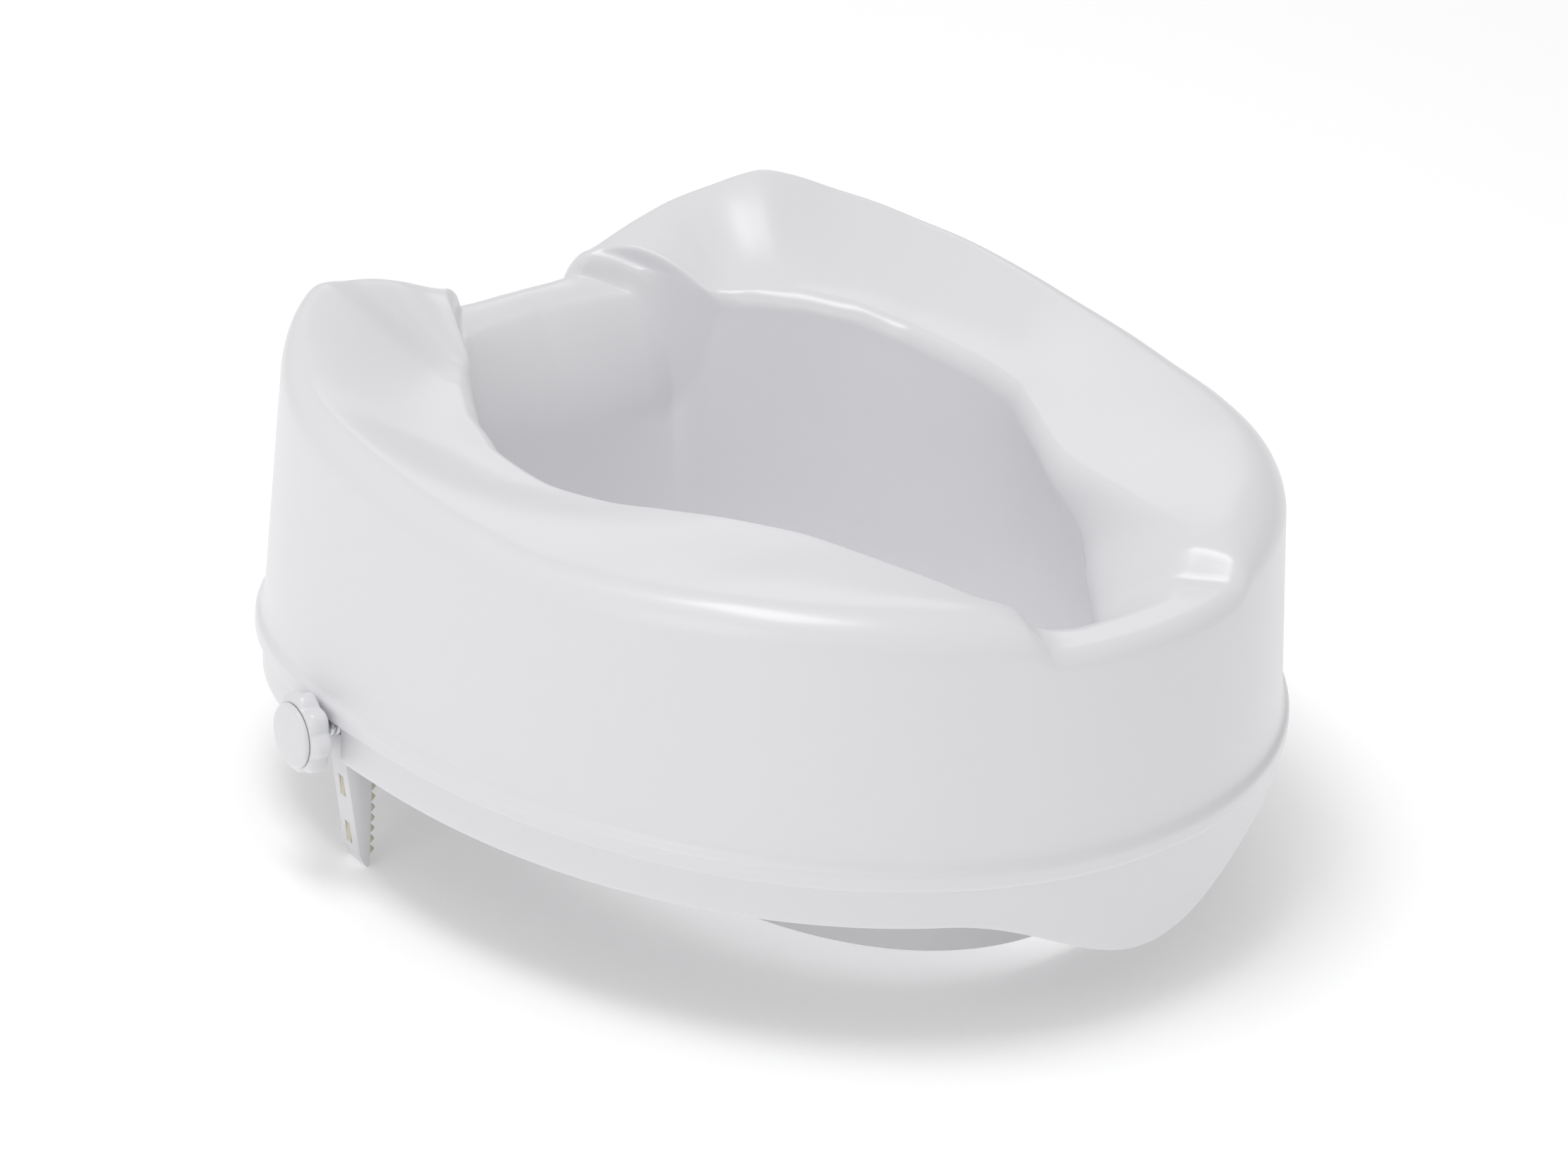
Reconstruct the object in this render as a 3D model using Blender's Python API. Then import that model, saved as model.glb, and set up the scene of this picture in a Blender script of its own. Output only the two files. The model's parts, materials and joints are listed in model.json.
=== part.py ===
"""Raised toilet seat with two screw-driven side clamps.

The seat is a hollow moulded shell that stands on a toilet bowl.  Each side has a knob outside the
skirt.  Its screw turns in a thrust wall under the seat and draws a clamp bracket with a rubber pad
in against the outside of the bowl.  Metres, +Z up, front of the seat at -Y, origin under the middle
of the seat at the height of the lowest point of the brackets.
"""
import math

import bmesh
import bpy
import numpy as np
from mathutils import Matrix, Vector

MM = 0.001

# Outline of the seat at the shoulder bead, and the height of that bead over the base plane.
SEAT_WIDTH = 360 * MM
SEAT_LENGTH = 385 * MM
WIDEST_Y = 23.5 * MM
FRONT_POWER = 2.05
REAR_POWER = 2.65
BEAD_Z = 65 * MM
WALL = 3.0 * MM

# Skirt below the bead, with the tongue that hangs at the front.
SKIRT_DEPTH = 15.6 * MM
SKIRT_INSET = 3.2 * MM
TONGUE_DROP = 22.5 * MM
TONGUE_HALF_WIDTH = 82 * MM

# Outer wall above the bead.
WALL_INSET = 3.5 * MM
FRONT_DRAFT = 0.085
REAR_DRAFT = 0.045

# Sleeve that reaches down into the bowl.
SLEEVE_DROP = 43 * MM
SLEEVE_FRONT_DROP = 53 * MM
SLEEVE_HALF_WIDTH = 99 * MM
SLEEVE_FRONT = 140.5 * MM
SLEEVE_REAR = 136 * MM
SLEEVE_POWER = 2.25
LIP_SOFTNESS = 6 * MM
SEAT_SLOPE_SHARE = 0.5

# Sections from the front centre round to the rear centre, in degrees and millimetres, with heights
# above the bead: angle, start of the inner lip (x, y, height), start of the inner wall (x, y, height),
# rim height, edge rounding, crown and sideways bow of the seat surface.
SECTIONS = [
    (0.0, 0.0, -166.5, 82.6, 0.0, -145.5, 59.0, 83.0, 7.0, 0.1, 0.0),
    (7.0, 20.5, -165.5, 82.6, 7.5, -143.0, 60.0, 83.0, 7.0, 0.1, 0.0),
    (11.0, 31.0, -161.0, 82.4, 13.5, -138.0, 61.5, 83.3, 7.0, 0.0, 0.0),
    (12.9, 35.5, -157.5, 83.2, 17.0, -133.5, 62.5, 84.5, 7.5, 0.0, 0.0),
    (14.3, 40.5, -155.0, 88.0, 20.5, -129.0, 63.5, 88.5, 8.5, 0.0, 0.0),
    (15.6, 45.0, -152.5, 92.3, 23.5, -125.0, 64.0, 92.3, 10.0, 0.2, 0.0),
    (19.0, 49.5, -147.0, 93.8, 29.5, -117.5, 64.5, 95.2, 12.0, 0.7, 0.0),
    (24.0, 52.5, -139.0, 94.0, 36.0, -109.5, 65.0, 97.3, 13.5, 1.1, 0.0),
    (32.0, 54.3, -127.0, 94.0, 42.5, -102.5, 66.5, 98.6, 14.0, 1.3, 0.0),
    (45.0, 58.5, -102.6, 93.5, 49.8, -91.0, 74.0, 98.0, 14.0, 1.4, 0.0),
    (60.0, 64.3, -69.8, 92.6, 56.8, -68.5, 82.0, 95.3, 14.0, 1.0, 0.0),
    (72.0, 77.3, -43.9, 92.6, 69.5, -45.5, 84.6, 93.8, 14.0, 0.4, 0.0),
    (82.0, 91.6, -20.1, 91.5, 84.0, -22.5, 83.5, 95.3, 14.0, -0.2, 0.0),
    (90.0, 102.4, -0.4, 90.0, 95.0, -3.5, 82.0, 97.1, 14.0, -0.8, 0.0),
    (100.0, 109.0, 30.5, 88.5, 101.8, 27.0, 80.5, 100.4, 14.0, -1.8, 0.0),
    (112.0, 107.3, 60.2, 89.5, 100.5, 56.0, 81.5, 104.6, 12.0, -2.4, 0.0),
    (118.0, 103.4, 71.8, 90.9, 97.0, 67.1, 82.9, 106.8, 11.1, -2.3, 0.0),
    (125.0, 98.9, 85.4, 92.5, 93.0, 80.0, 84.5, 110.8, 10.0, -2.2, 0.0),
    (131.0, 92.8, 95.0, 93.2, 87.5, 89.0, 85.2, 114.3, 9.2, -2.0, 0.0),
    (137.0, 86.7, 104.5, 93.8, 82.0, 98.0, 85.8, 119.0, 8.5, -1.8, 0.0),
    (141.0, 82.5, 109.1, 93.3, 78.7, 102.5, 85.3, 121.0, 8.7, -1.8, 0.0),
    (144.0, 79.4, 112.5, 93.0, 76.3, 106.0, 85.0, 119.2, 8.8, -1.8, 0.0),
    (148.0, 75.2, 117.1, 92.5, 73.0, 110.5, 84.5, 115.5, 9.0, -1.8, 0.0),
    (154.0, 69.2, 123.0, 91.0, 68.5, 116.5, 83.0, 111.0, 11.0, -1.0, 0.0),
    (158.0, 65.8, 125.5, 90.3, 66.3, 119.5, 82.3, 107.5, 13.5, 0.5, 0.0),
    (162.0, 62.6, 128.1, 90.0, 64.2, 122.3, 82.0, 103.1, 13.5, 2.8, 0.4),
    (164.0, 60.7, 129.6, 90.1, 62.8, 124.0, 82.1, 100.9, 13.5, 4.3, 0.8),
    (165.8, 59.0, 131.4, 90.3, 61.5, 126.0, 81.3, 99.2, 13.5, 5.1, 1.2),
    (167.6, 49.5, 153.4, 93.0, 56.0, 133.5, 45.0, 97.8, 13.5, 0.8, 1.1),
    (169.3, 45.8, 156.3, 92.8, 51.8, 138.5, 40.5, 95.4, 13.5, 0.9, 0.6),
    (170.1, 44.4, 156.1, 88.0, 49.5, 138.3, 39.0, 92.4, 13.5, 0.6, 0.5),
    (170.8, 42.4, 155.9, 83.7, 46.8, 138.2, 38.7, 87.9, 13.5, 0.4, 0.5),
    (172.5, 35.7, 158.2, 83.8, 38.0, 138.3, 38.3, 87.9, 13.5, 0.8, 0.3),
    (176.0, 19.2, 160.5, 84.3, 20.0, 138.5, 37.3, 87.9, 13.5, 1.0, 0.0),
    (180.0, 0.0, 162.5, 84.5, 0.0, 138.5, 36.5, 87.9, 13.5, 1.0, 0.0),
]
# Angles of the modelled sections, closer together at the two notches.
HALF_ANGLES = [0, 4, 7.5, 11, 12.9, 14.3, 15.6, 17.3, 19.5, 24, 28, 32, 38, 45, 52, 60, 68, 76, 83, 90, 97,
               105, 112, 118, 125, 131, 137, 141, 144, 148, 151, 155.5, 159, 162, 164.2, 165.8, 167.6, 169.3, 170.1, 170.8,
               172.5, 176, 180]

# Stiffening ribs under the seat and the bowl buffers pushed onto their lower edges.
RIB_THICKNESS = 3.0 * MM
RIB_FOOT_Z = BEAD_Z + 1.5 * MM
RIB_LINES = {"front": (46.65 * MM, -127.13 * MM, math.radians(-15.43)),
             "middle": (62.14 * MM, -58.12 * MM, math.radians(3.28)),
             "rear": (85.02 * MM, 113.90 * MM, math.radians(50.39))}
RIB_START = 30 * MM
BUFFER_REACH = {"front": 34 * MM, "rear": 27 * MM}
BUFFER_LENGTH = 26 * MM
BUFFER_WIDTH = 13 * MM
BUFFER_BASE = 5.5 * MM
BUFFER_GRIP = 6 * MM
FIT_GAP = 0.3 * MM

# Side clamp.  Its pieces are laid out from the middle of the knob's back face: x along the screw,
# outwards, y towards the rear and z up.  The screw points a little rearwards, square to the skirt.
CLAMP_X = 180.2 * MM
CLAMP_Y = 63.5 * MM
CLAMP_Z = BEAD_Z - 6 * MM
CLAMP_TURN = math.radians(8)
SCREW_RADIUS = 3.5 * MM
SCREW_INNER_X = -58.5 * MM
LEG_WIDTH = 12 * MM
LEG_TOP_Z = 12 * MM
LEG_OUTER_X = -10.4 * MM
LEG_OUTER_FOOT_X = -16.4 * MM
LEG_INNER_X = -21.4 * MM
LEG_KNEE_Z = -14 * MM
LEG_HEEL_Z = -52.5 * MM
LEG_FOOT_Z = -59.0 * MM
LEG_FLOOR = 2.2 * MM
LEG_SIDE = 1.8 * MM
PAD_TOP_Z = -11.5 * MM
PAD_FOOT_Z = -55.3 * MM
PAD_TEETH = 10
PAD_TOOTH_DEPTH = 2.0 * MM
TAB_HEIGHT = 8 * MM
TAB_WIDTH = 3.2 * MM
TAB_CENTRES_Z = (-25.5 * MM, -45.5 * MM)
CUTOUT_WIDTH = 20 * MM
CUTOUT_TOP_Z = 5.0 * MM
GUIDE_GAP = LEG_WIDTH + 1.4 * MM
THRUST_WALL_X = -50 * MM
THRUST_WALL_THICKNESS = 6 * MM
THRUST_WALL_HALF_LENGTH = 13 * MM
THRUST_WALL_FOOT_Z = -3.0 * MM
THRUST_WALL_TOP_Z = 24 * MM
CLIP_THICKNESS = 1.2 * MM
CLIP_RADIUS = 6.3 * MM
GROOVE_RADIUS = 2.7 * MM
KEEPER_HEIGHT = 5 * MM
KEEPER_SCREW_OFFSET = 8.8 * MM
KEEPER_SCREW_RADIUS = 1.3 * MM
KEEPER_SCREW_LENGTH = 11 * MM
KNOB_LOBES = 8
KNOB_RADIUS = 15.75 * MM
KNOB_LOBE_DEPTH = 1.5 * MM
KNOB_THICKNESS = 8.4 * MM
CAP_RADIUS = 12.25 * MM
CAP_HEIGHT = 3.0 * MM
HEAD_RECESS = 3.0 * MM
NUT_ACROSS_FLATS = 10 * MM
NUT_HEIGHT = 6 * MM

WHITE = (0.86, 0.86, 0.88)
CREAM = (0.80, 0.76, 0.62)
GREY = (0.55, 0.56, 0.57)
STEEL = (0.62, 0.63, 0.64)


# ---------------------------------------------------------------- scene helpers

def clear_scene():
    """Remove every object of the open scene."""
    for obj in list(bpy.data.objects):
        bpy.data.objects.remove(obj, do_unlink=True)


def plastic(name, colour, roughness, metallic=0.0):
    """A Principled material."""
    material = bpy.data.materials.new(name)
    material.use_nodes = True
    shader = material.node_tree.nodes["Principled BSDF"]
    shader.inputs["Base Color"].default_value = (*colour, 1.0)
    shader.inputs["Roughness"].default_value = roughness
    shader.inputs["Metallic"].default_value = metallic
    return material


def new_object(name, bm, material=None, parent=None, smooth=True):
    """Turn a bmesh into a named object and hang it under a parent at the same world place."""
    bmesh.ops.recalc_face_normals(bm, faces=bm.faces)
    mesh = bpy.data.meshes.new(name)
    bm.to_mesh(mesh)
    bm.free()
    obj = bpy.data.objects.new(name, mesh)
    bpy.context.scene.collection.objects.link(obj)
    if material:
        mesh.materials.append(material)
    if smooth:
        mesh.shade_smooth()
        mesh.set_sharp_from_angle(angle=math.radians(35))
    if parent:
        obj.parent = parent
        mesh.transform(Matrix.Translation(-parent.location))
    return obj


def empty(name, place):
    """An empty that carries the pieces of one moving body."""
    obj = bpy.data.objects.new(name, None)
    obj.location = place
    bpy.context.scene.collection.objects.link(obj)
    return obj


def boolean(obj, tool, operation):
    """Cut or join obj with a tool object that the build leaves out."""
    tool.hide_render = True
    tool.display_type = "WIRE"
    modifier = obj.modifiers.new(operation.lower() + "_" + tool.name, "BOOLEAN")
    modifier.operation = operation
    modifier.solver = "EXACT"
    modifier.object = tool


def add_box(bm, low, high):
    """A box between two corners."""
    low, high = Vector(low), Vector(high)
    made = bmesh.ops.create_cube(bm, size=1.0)
    matrix = Matrix.Translation((low + high) / 2) @ Matrix.Diagonal((*(high - low), 1.0))
    bmesh.ops.transform(bm, matrix=matrix, verts=made["verts"])
    return made["verts"]


def extrude_outline(bm, points, direction):
    """A prism: a planar outline swept along a straight direction."""
    low = [bm.verts.new(point) for point in points]
    high = [bm.verts.new(Vector(point) + Vector(direction)) for point in points]
    bm.faces.new(low)
    bm.faces.new(reversed(high))
    for index in range(len(low)):
        following = (index + 1) % len(low)
        bm.faces.new((low[index], high[index], high[following], low[following]))


def loft(bm, rings, cap=True):
    """A body through closed rings of equal point counts, capped at both ends."""
    rows = [[bm.verts.new(point) for point in ring] for ring in rings]
    for row, following in zip(rows, rows[1:]):
        for index in range(len(row)):
            right = (index + 1) % len(row)
            bm.faces.new((row[index], row[right], following[right], following[index]))
    if cap:
        bm.faces.new(rows[0])
        bm.faces.new(reversed(rows[-1]))
    return rows


def turned(bm, profile, sides=32):
    """A round body about the X axis: profile holds (distance along it, radius)."""
    rings = []
    for distance, radius in profile:
        turns = [2 * math.pi * (index + 0.5) / sides for index in range(sides)]
        rings.append([Vector((distance, radius * math.cos(t), radius * math.sin(t))) for t in turns])
    loft(bm, rings)


# ---------------------------------------------------------------- the shell's shape

def smooth_interpolate(known, values, wanted):
    """Monotone cubic interpolation of a table, flat at both ends, so that no step overshoots."""
    known, values = np.asarray(known, float), np.asarray(values, float)
    steps = np.diff(known)
    slopes = np.diff(values) / steps
    tangents = np.zeros(len(known))
    for index in range(1, len(known) - 1):
        before, after = slopes[index - 1], slopes[index]
        if before * after > 0:
            weight_1 = 2 * steps[index] + steps[index - 1]
            weight_2 = steps[index] + 2 * steps[index - 1]
            tangents[index] = (weight_1 + weight_2) / (weight_1 / before + weight_2 / after)
    place = np.clip(np.searchsorted(known, wanted, side="right") - 1, 0, len(steps) - 1)
    step = steps[place]
    share = (np.asarray(wanted) - known[place]) / step
    square, cube = share ** 2, share ** 3
    return ((2 * cube - 3 * square + 1) * values[place] + (cube - 2 * square + share) * step * tangents[place]
            + (3 * square - 2 * cube) * values[place + 1] + (cube - square) * step * tangents[place + 1])


def superellipse(directions, half_width, front, rear, centre_y, front_power, rear_power):
    """Points of a rounded outline in the given unit directions from its centre."""
    depth = np.where(directions[:, 1] < 0, front, rear)
    power = np.where(directions[:, 1] < 0, front_power, rear_power)
    reach = (np.abs(directions[:, 0] / half_width) ** power + np.abs(directions[:, 1] / depth) ** power)
    radius = reach ** (-1.0 / power)
    return directions * radius[:, None] + np.array((0.0, centre_y))


def seat_outline(angles):
    """Outline of the bead, by angle in degrees from the front centre."""
    turn = np.radians(angles)
    directions = np.column_stack((np.sin(turn), -np.cos(turn)))
    rear = SEAT_LENGTH / 2 - WIDEST_Y
    front = SEAT_LENGTH / 2 + WIDEST_Y
    return superellipse(directions, SEAT_WIDTH / 2, front, rear, WIDEST_Y, FRONT_POWER, REAR_POWER)


def outward_normals(angles):
    """Unit normals of the bead outline."""
    tangent = seat_outline(angles + 0.05) - seat_outline(angles - 0.05)
    normal = np.column_stack((tangent[:, 1], -tangent[:, 0]))
    return normal / np.linalg.norm(normal, axis=1)[:, None]


def bezier(start, start_handle, end_handle, end, share):
    """A cubic curve between arrays of points."""
    rest = 1 - share
    return (rest ** 3 * start + 3 * rest ** 2 * share * start_handle
            + 3 * rest * share ** 2 * end_handle + share ** 3 * end)


def section_table(angles):
    """The columns of SECTIONS at the given angles, in metres, mirrored for the left half."""
    signed = (np.asarray(angles) + 180.0) % 360.0 - 180.0
    known = [row[0] for row in SECTIONS]
    columns = []
    for c in range(1, len(SECTIONS[0])):
        column = smooth_interpolate(known, [row[c] for row in SECTIONS], np.abs(signed)) * MM
        columns.append(column * np.where(signed < 0, -1.0, 1.0) if c in (1, 4) else column)
    return columns


def shell_stations(angles):
    """Rings of points over the outer face of the shell, from the skirt's foot to the sleeve's foot."""
    outline, normal = seat_outline(angles), outward_normals(angles)
    lip_x, lip_y, lip, wall_x, wall_y, wall_z, rim, rounding, crown, bow = section_table(angles)
    lip_start = np.column_stack((lip_x, lip_y, BEAD_Z + lip))
    wall_start = np.column_stack((wall_x, wall_y, BEAD_Z + wall_z))
    rear_share = np.clip((outline[:, 1] - outline[:, 1].min()) / SEAT_LENGTH, 0, 1)
    draft = FRONT_DRAFT + (REAR_DRAFT - FRONT_DRAFT) * rear_share

    def ring(inset, height):
        plan = outline - normal * np.broadcast_to(inset, len(outline))[:, None]
        return np.column_stack((plan, BEAD_Z + np.broadcast_to(height, len(outline))))

    reach = np.clip(np.abs(outline[:, 0]) / TONGUE_HALF_WIDTH, 0, 1)
    tongue = np.where(outline[:, 1] < 0, TONGUE_DROP * 0.5 * (1 + np.cos(math.pi * reach)), 0)
    rings = [ring(SKIRT_INSET, -SKIRT_DEPTH - tongue), ring(SKIRT_INSET, -SKIRT_DEPTH / 2 - tongue / 2)]
    for inset, height in ((SKIRT_INSET, -1.2 * MM), (0.7 * MM, -0.2 * MM), (0.0, 1.6 * MM), (0.0, 5.0 * MM),
                          (1.0 * MM, 7.6 * MM), (2.8 * MM, 10.0 * MM), (WALL_INSET, 14.0 * MM)):
        rings.append(ring(inset, height))

    wall_top = rim - rounding
    wall_top_inset = WALL_INSET + draft * (wall_top - 14 * MM)
    for share in (0.4, 0.8):
        height = 14 * MM + (wall_top - 14 * MM) * share
        rings.append(ring(WALL_INSET + draft * (height - 14 * MM), height))

    # Edge rounding up to the rim, then the seat surface down to the start of the lip.
    rim_points = ring(wall_top_inset + rounding, rim)
    wall_points = ring(wall_top_inset, wall_top)
    run = lip_start[:, :2] - rim_points[:, :2]
    span = np.linalg.norm(run, axis=1)
    inward = run / span[:, None]
    across = np.column_stack((-inward[:, 1], inward[:, 0])) * np.sign(lip_x)[:, None]
    fall = (lip - rim) / span
    sweep = across * (4 * bow / span)[:, None]
    rim_tangent = np.column_stack((inward + sweep, SEAT_SLOPE_SHARE * fall + 4 * crown / span))
    lip_tangent = np.column_stack((inward - sweep, SEAT_SLOPE_SHARE * fall - 4 * crown / span))
    wall_tangent = np.column_stack((-normal * draft[:, None], np.ones(len(rim))))
    handle = 0.55 * rounding[:, None]
    for share in (0.0, 0.25, 0.5, 0.7, 0.85, 1.0):
        rings.append(bezier(wall_points, wall_points + wall_tangent * handle,
                            rim_points - rim_tangent * handle, rim_points, share))
    for share in (0.2, 0.4, 0.6, 0.8, 1.0):
        hump = 4 * share * (1 - share)
        plan = rim_points[:, :2] + run * share + across * (bow * hump)[:, None]
        ease = SEAT_SLOPE_SHARE * share + (1 - SEAT_SLOPE_SHARE) * share ** 2 * (3 - 2 * share)
        rings.append(np.column_stack((plan, BEAD_Z + rim + (lip - rim) * ease + crown * hump)))

    # Rounded lip, then the inner wall down to the sleeve's oval foot.
    lip_run = np.linalg.norm(wall_start[:, :2] - lip_start[:, :2], axis=1)[:, None]
    drop = (lip_start[:, 2] - wall_start[:, 2])[:, None]
    down = np.array((0.0, 0.0, -1.0))
    for share in (0.25, 0.5, 0.75, 1.0):
        rings.append(bezier(lip_start, lip_start + lip_tangent * np.minimum(0.55 * lip_run, LIP_SOFTNESS),
                            wall_start - down * 0.45 * drop, wall_start, share))
    wall_plan = wall_start[:, :2]
    from_centre = wall_plan / np.linalg.norm(wall_plan, axis=1)[:, None]
    foot = superellipse(from_centre, SLEEVE_HALF_WIDTH, SLEEVE_FRONT, SLEEVE_REAR, 0.0,
                        SLEEVE_POWER, SLEEVE_POWER)
    forward = np.clip(-foot[:, 1] / SLEEVE_FRONT, 0, 1)
    foot_drop = SLEEVE_DROP + (SLEEVE_FRONT_DROP - SLEEVE_DROP) * forward
    for share in (0.3, 0.65, 1.0):
        plan = wall_plan + (foot - wall_plan) * share * (2 - share)
        height = wall_z * (1 - share) - foot_drop * share
        rings.append(np.column_stack((plan, BEAD_Z + height)))
    return rings


def section_angles():
    """Angles of all sections round the seat, in degrees."""
    half = list(HALF_ANGLES)
    return np.array(half + [360.0 - angle for angle in reversed(half[1:-1])], float)


def middle_surface(rings):
    """The shell's rings moved to the middle of its wall."""
    grid = np.array(rings)
    along = np.gradient(grid, axis=0)
    around = np.roll(grid, -1, axis=1) - np.roll(grid, 1, axis=1)
    normal = np.cross(around, along)
    normal /= np.maximum(np.linalg.norm(normal, axis=2)[:, :, None], 1e-12)
    return grid - normal * WALL / 2


def rib_outline(grid, point, direction, foot_z):
    """Where a vertical plane meets the middle of the shell's wall, closed at foot_z."""
    across = np.array((-direction[1], direction[0]))
    outline = []
    for ring in grid:
        distance = (ring[:, :2] - point) @ across
        ahead = (ring[:, :2] - point) @ direction
        following = np.roll(distance, -1)
        crossings = np.nonzero((distance * following <= 0) & (ahead > 0))[0]
        index = crossings[0]
        share = distance[index] / (distance[index] - following[index])
        outline.append(ring[index] + (np.roll(ring, -1, axis=0)[index] - ring[index]) * share)
    return clip_below(outline, foot_z)


def clip_below(outline, foot_z):
    """Keep the run of an open outline that is above foot_z, with its ends moved onto it."""
    kept = []
    for start, end in zip(outline, outline[1:]):
        if (start[2] - foot_z) * (end[2] - foot_z) < 0:
            kept.append(start + (end - start) * (foot_z - start[2]) / (end[2] - start[2]))
        if end[2] > foot_z:
            kept.append(end)
    return kept


def rib_tool(name, grid, point, direction, foot_z):
    """A flat rib whose edges lie inside the shell's wall."""
    point, direction = np.array(point), np.array(direction)
    outline = [Vector(corner) for corner in rib_outline(grid, point, direction, foot_z)]
    across = Vector((-direction[1], direction[0], 0.0)) * RIB_THICKNESS
    bm = bmesh.new()
    extrude_outline(bm, [corner - across / 2 for corner in outline], across)
    return new_object(name, bm, smooth=False)


def rib_line(side, place):
    """A point under the seat and the outward direction of a radial rib."""
    inner_x, inner_y, heading = RIB_LINES[place]
    direction = np.array((side * math.cos(heading), math.sin(heading)))
    return np.array((side * inner_x, inner_y)) - direction * RIB_START, direction


def clamp_frame(side):
    """From the clamp's own layout to the seat; the left clamp mirrors the right one."""
    place = Matrix.Translation((CLAMP_X, CLAMP_Y, CLAMP_Z)) @ Matrix.Rotation(CLAMP_TURN, 4, "Z")
    return Matrix.Diagonal((side, 1, 1, 1)) @ place


def guide_lines(side):
    """The two ribs that run beside each clamp bracket."""
    frame = clamp_frame(side)
    outwards = (frame.to_3x3() @ Vector((1, 0, 0))).xy
    for end in (-1, 1):
        point = frame @ Vector((-120 * MM, end * (GUIDE_GAP + RIB_THICKNESS) / 2, 0))
        yield end, point.xy, outwards


def shell_lofted(rings, material):
    """The moulded shell, before its ribs and cut-outs."""
    bm = bmesh.new()
    loft(bm, [[Vector(point) for point in ring] for ring in rings], cap=False)
    shell = new_object("seat_shell", bm, material)
    thickness = shell.modifiers.new("wall_thickness", "SOLIDIFY")
    thickness.thickness = WALL
    thickness.offset = -1.0
    thickness.use_even_offset = True
    thickness.thickness_clamp = 0.6
    return shell


def clamp_piece(bm, side, name, material=None, carrier=None, smooth=True):
    """Move a piece from the clamp's own layout onto the seat."""
    bmesh.ops.transform(bm, matrix=clamp_frame(side), verts=bm.verts)
    return new_object(name, bm, material, carrier, smooth)


def thrust_wall(side, name):
    """The wall between the guide ribs with an open slot that the screw turns in."""
    bm = bmesh.new()
    half, thick = THRUST_WALL_HALF_LENGTH, THRUST_WALL_THICKNESS
    slot = SCREW_RADIUS + FIT_GAP
    foot, top, arc = THRUST_WALL_FOOT_Z, THRUST_WALL_TOP_Z, []
    for index in range(9):
        turn = math.pi * index / 8
        arc.append((slot * math.cos(turn), slot * math.sin(turn)))
    corners = [(slot, foot), *arc, (-slot, foot), (-half, foot), (-half, top), (half, top), (half, foot)]
    start = THRUST_WALL_X - thick / 2
    extrude_outline(bm, [Vector((start, y, z)) for y, z in corners], (thick, 0, 0))
    return clamp_piece(bm, side, f"thrust_wall_{name}", smooth=False)


def keeper_screw_bores(side, name, radius, foot, top):
    """Cutters for the two bores of the keeper's screws."""
    for end, label in ((-1, "front"), (1, "rear")):
        bm = bmesh.new()
        upright(bm, [(foot, radius), (top, radius)], THRUST_WALL_X, end * KEEPER_SCREW_OFFSET, 12)
        yield clamp_piece(bm, side, f"keeper_bore_{label}_{name}_{round(radius / MM * 10)}", smooth=False)


def skirt_cutout(side, name):
    """The opening in the skirt that the screw passes through, with rounded upper corners."""
    bm = bmesh.new()
    half, corner = CUTOUT_WIDTH / 2, 3 * MM
    top, foot = CUTOUT_TOP_Z, -SKIRT_DEPTH
    points = [(-half, foot), (half, foot), (half, top - corner), (half - corner, top), (corner - half, top),
              (-half, top - corner)]
    extrude_outline(bm, [Vector((-13 * MM, y, z)) for y, z in points], (20 * MM, 0, 0))
    return clamp_piece(bm, side, f"skirt_cutout_{name}", smooth=False)


def build_shell(material):
    """Shell with its stiffening ribs, clamp guides, thrust walls and skirt cut-outs."""
    rings = shell_stations(section_angles())
    shell = shell_lofted(rings, material)
    grid = middle_surface(rings)
    for side, name in ((1, "right"), (-1, "left")):
        for place in RIB_LINES:
            point, direction = rib_line(side, place)
            boolean(shell, rib_tool(f"rib_{place}_{name}", grid, point, direction, RIB_FOOT_Z), "UNION")
        for end, point, direction in guide_lines(side):
            boolean(shell, rib_tool(f"guide_{end}_{name}", grid, point, direction, RIB_FOOT_Z), "UNION")
        boolean(shell, thrust_wall(side, name), "UNION")
        boolean(shell, skirt_cutout(side, name), "DIFFERENCE")
        pilot_foot, pilot_top = THRUST_WALL_FOOT_Z - 2 * MM, THRUST_WALL_FOOT_Z + KEEPER_SCREW_LENGTH
        for bore in keeper_screw_bores(side, name, KEEPER_SCREW_RADIUS + 0.2 * MM, pilot_foot, pilot_top):
            boolean(shell, bore, "DIFFERENCE")
    return shell


def build_buffers(material):
    """Rubber shoes pushed onto the lower edges of the front and rear ribs."""
    for side, name in ((1, "right"), (-1, "left")):
        for place in ("front", "rear"):
            point, direction = rib_line(side, place)
            centre = point + direction * (RIB_START + BUFFER_REACH[place])
            across = np.array((-direction[1], direction[0]))
            foot = RIB_FOOT_Z - FIT_GAP
            half, slot = BUFFER_WIDTH / 2, RIB_THICKNESS / 2 + FIT_GAP
            profile = [(-half, foot - BUFFER_BASE), (half, foot - BUFFER_BASE), (half, foot + BUFFER_GRIP),
                       (slot, foot + BUFFER_GRIP), (slot, foot), (-slot, foot), (-slot, foot + BUFFER_GRIP),
                       (-half, foot + BUFFER_GRIP)]
            start = centre - direction * BUFFER_LENGTH / 2
            points = [Vector((*(start + across * offset), z)) for offset, z in profile]
            bm = bmesh.new()
            extrude_outline(bm, points, (*(direction * BUFFER_LENGTH), 0))
            new_object(f"rim_buffer_{place}_{name}", bm, material, smooth=False)


# ---------------------------------------------------------------- the side clamps

def upright(bm, profile, x, y, sides):
    """A round body about a vertical axis: profile holds (height, radius)."""
    rings = []
    for height, radius in profile:
        turns = [2 * math.pi * index / sides for index in range(sides)]
        rings.append([Vector((x + radius * math.cos(t), y + radius * math.sin(t), height)) for t in turns])
    loft(bm, rings)


def hexagon_radius(across_flats):
    return across_flats / 2 / math.cos(math.pi / 6)


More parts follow.
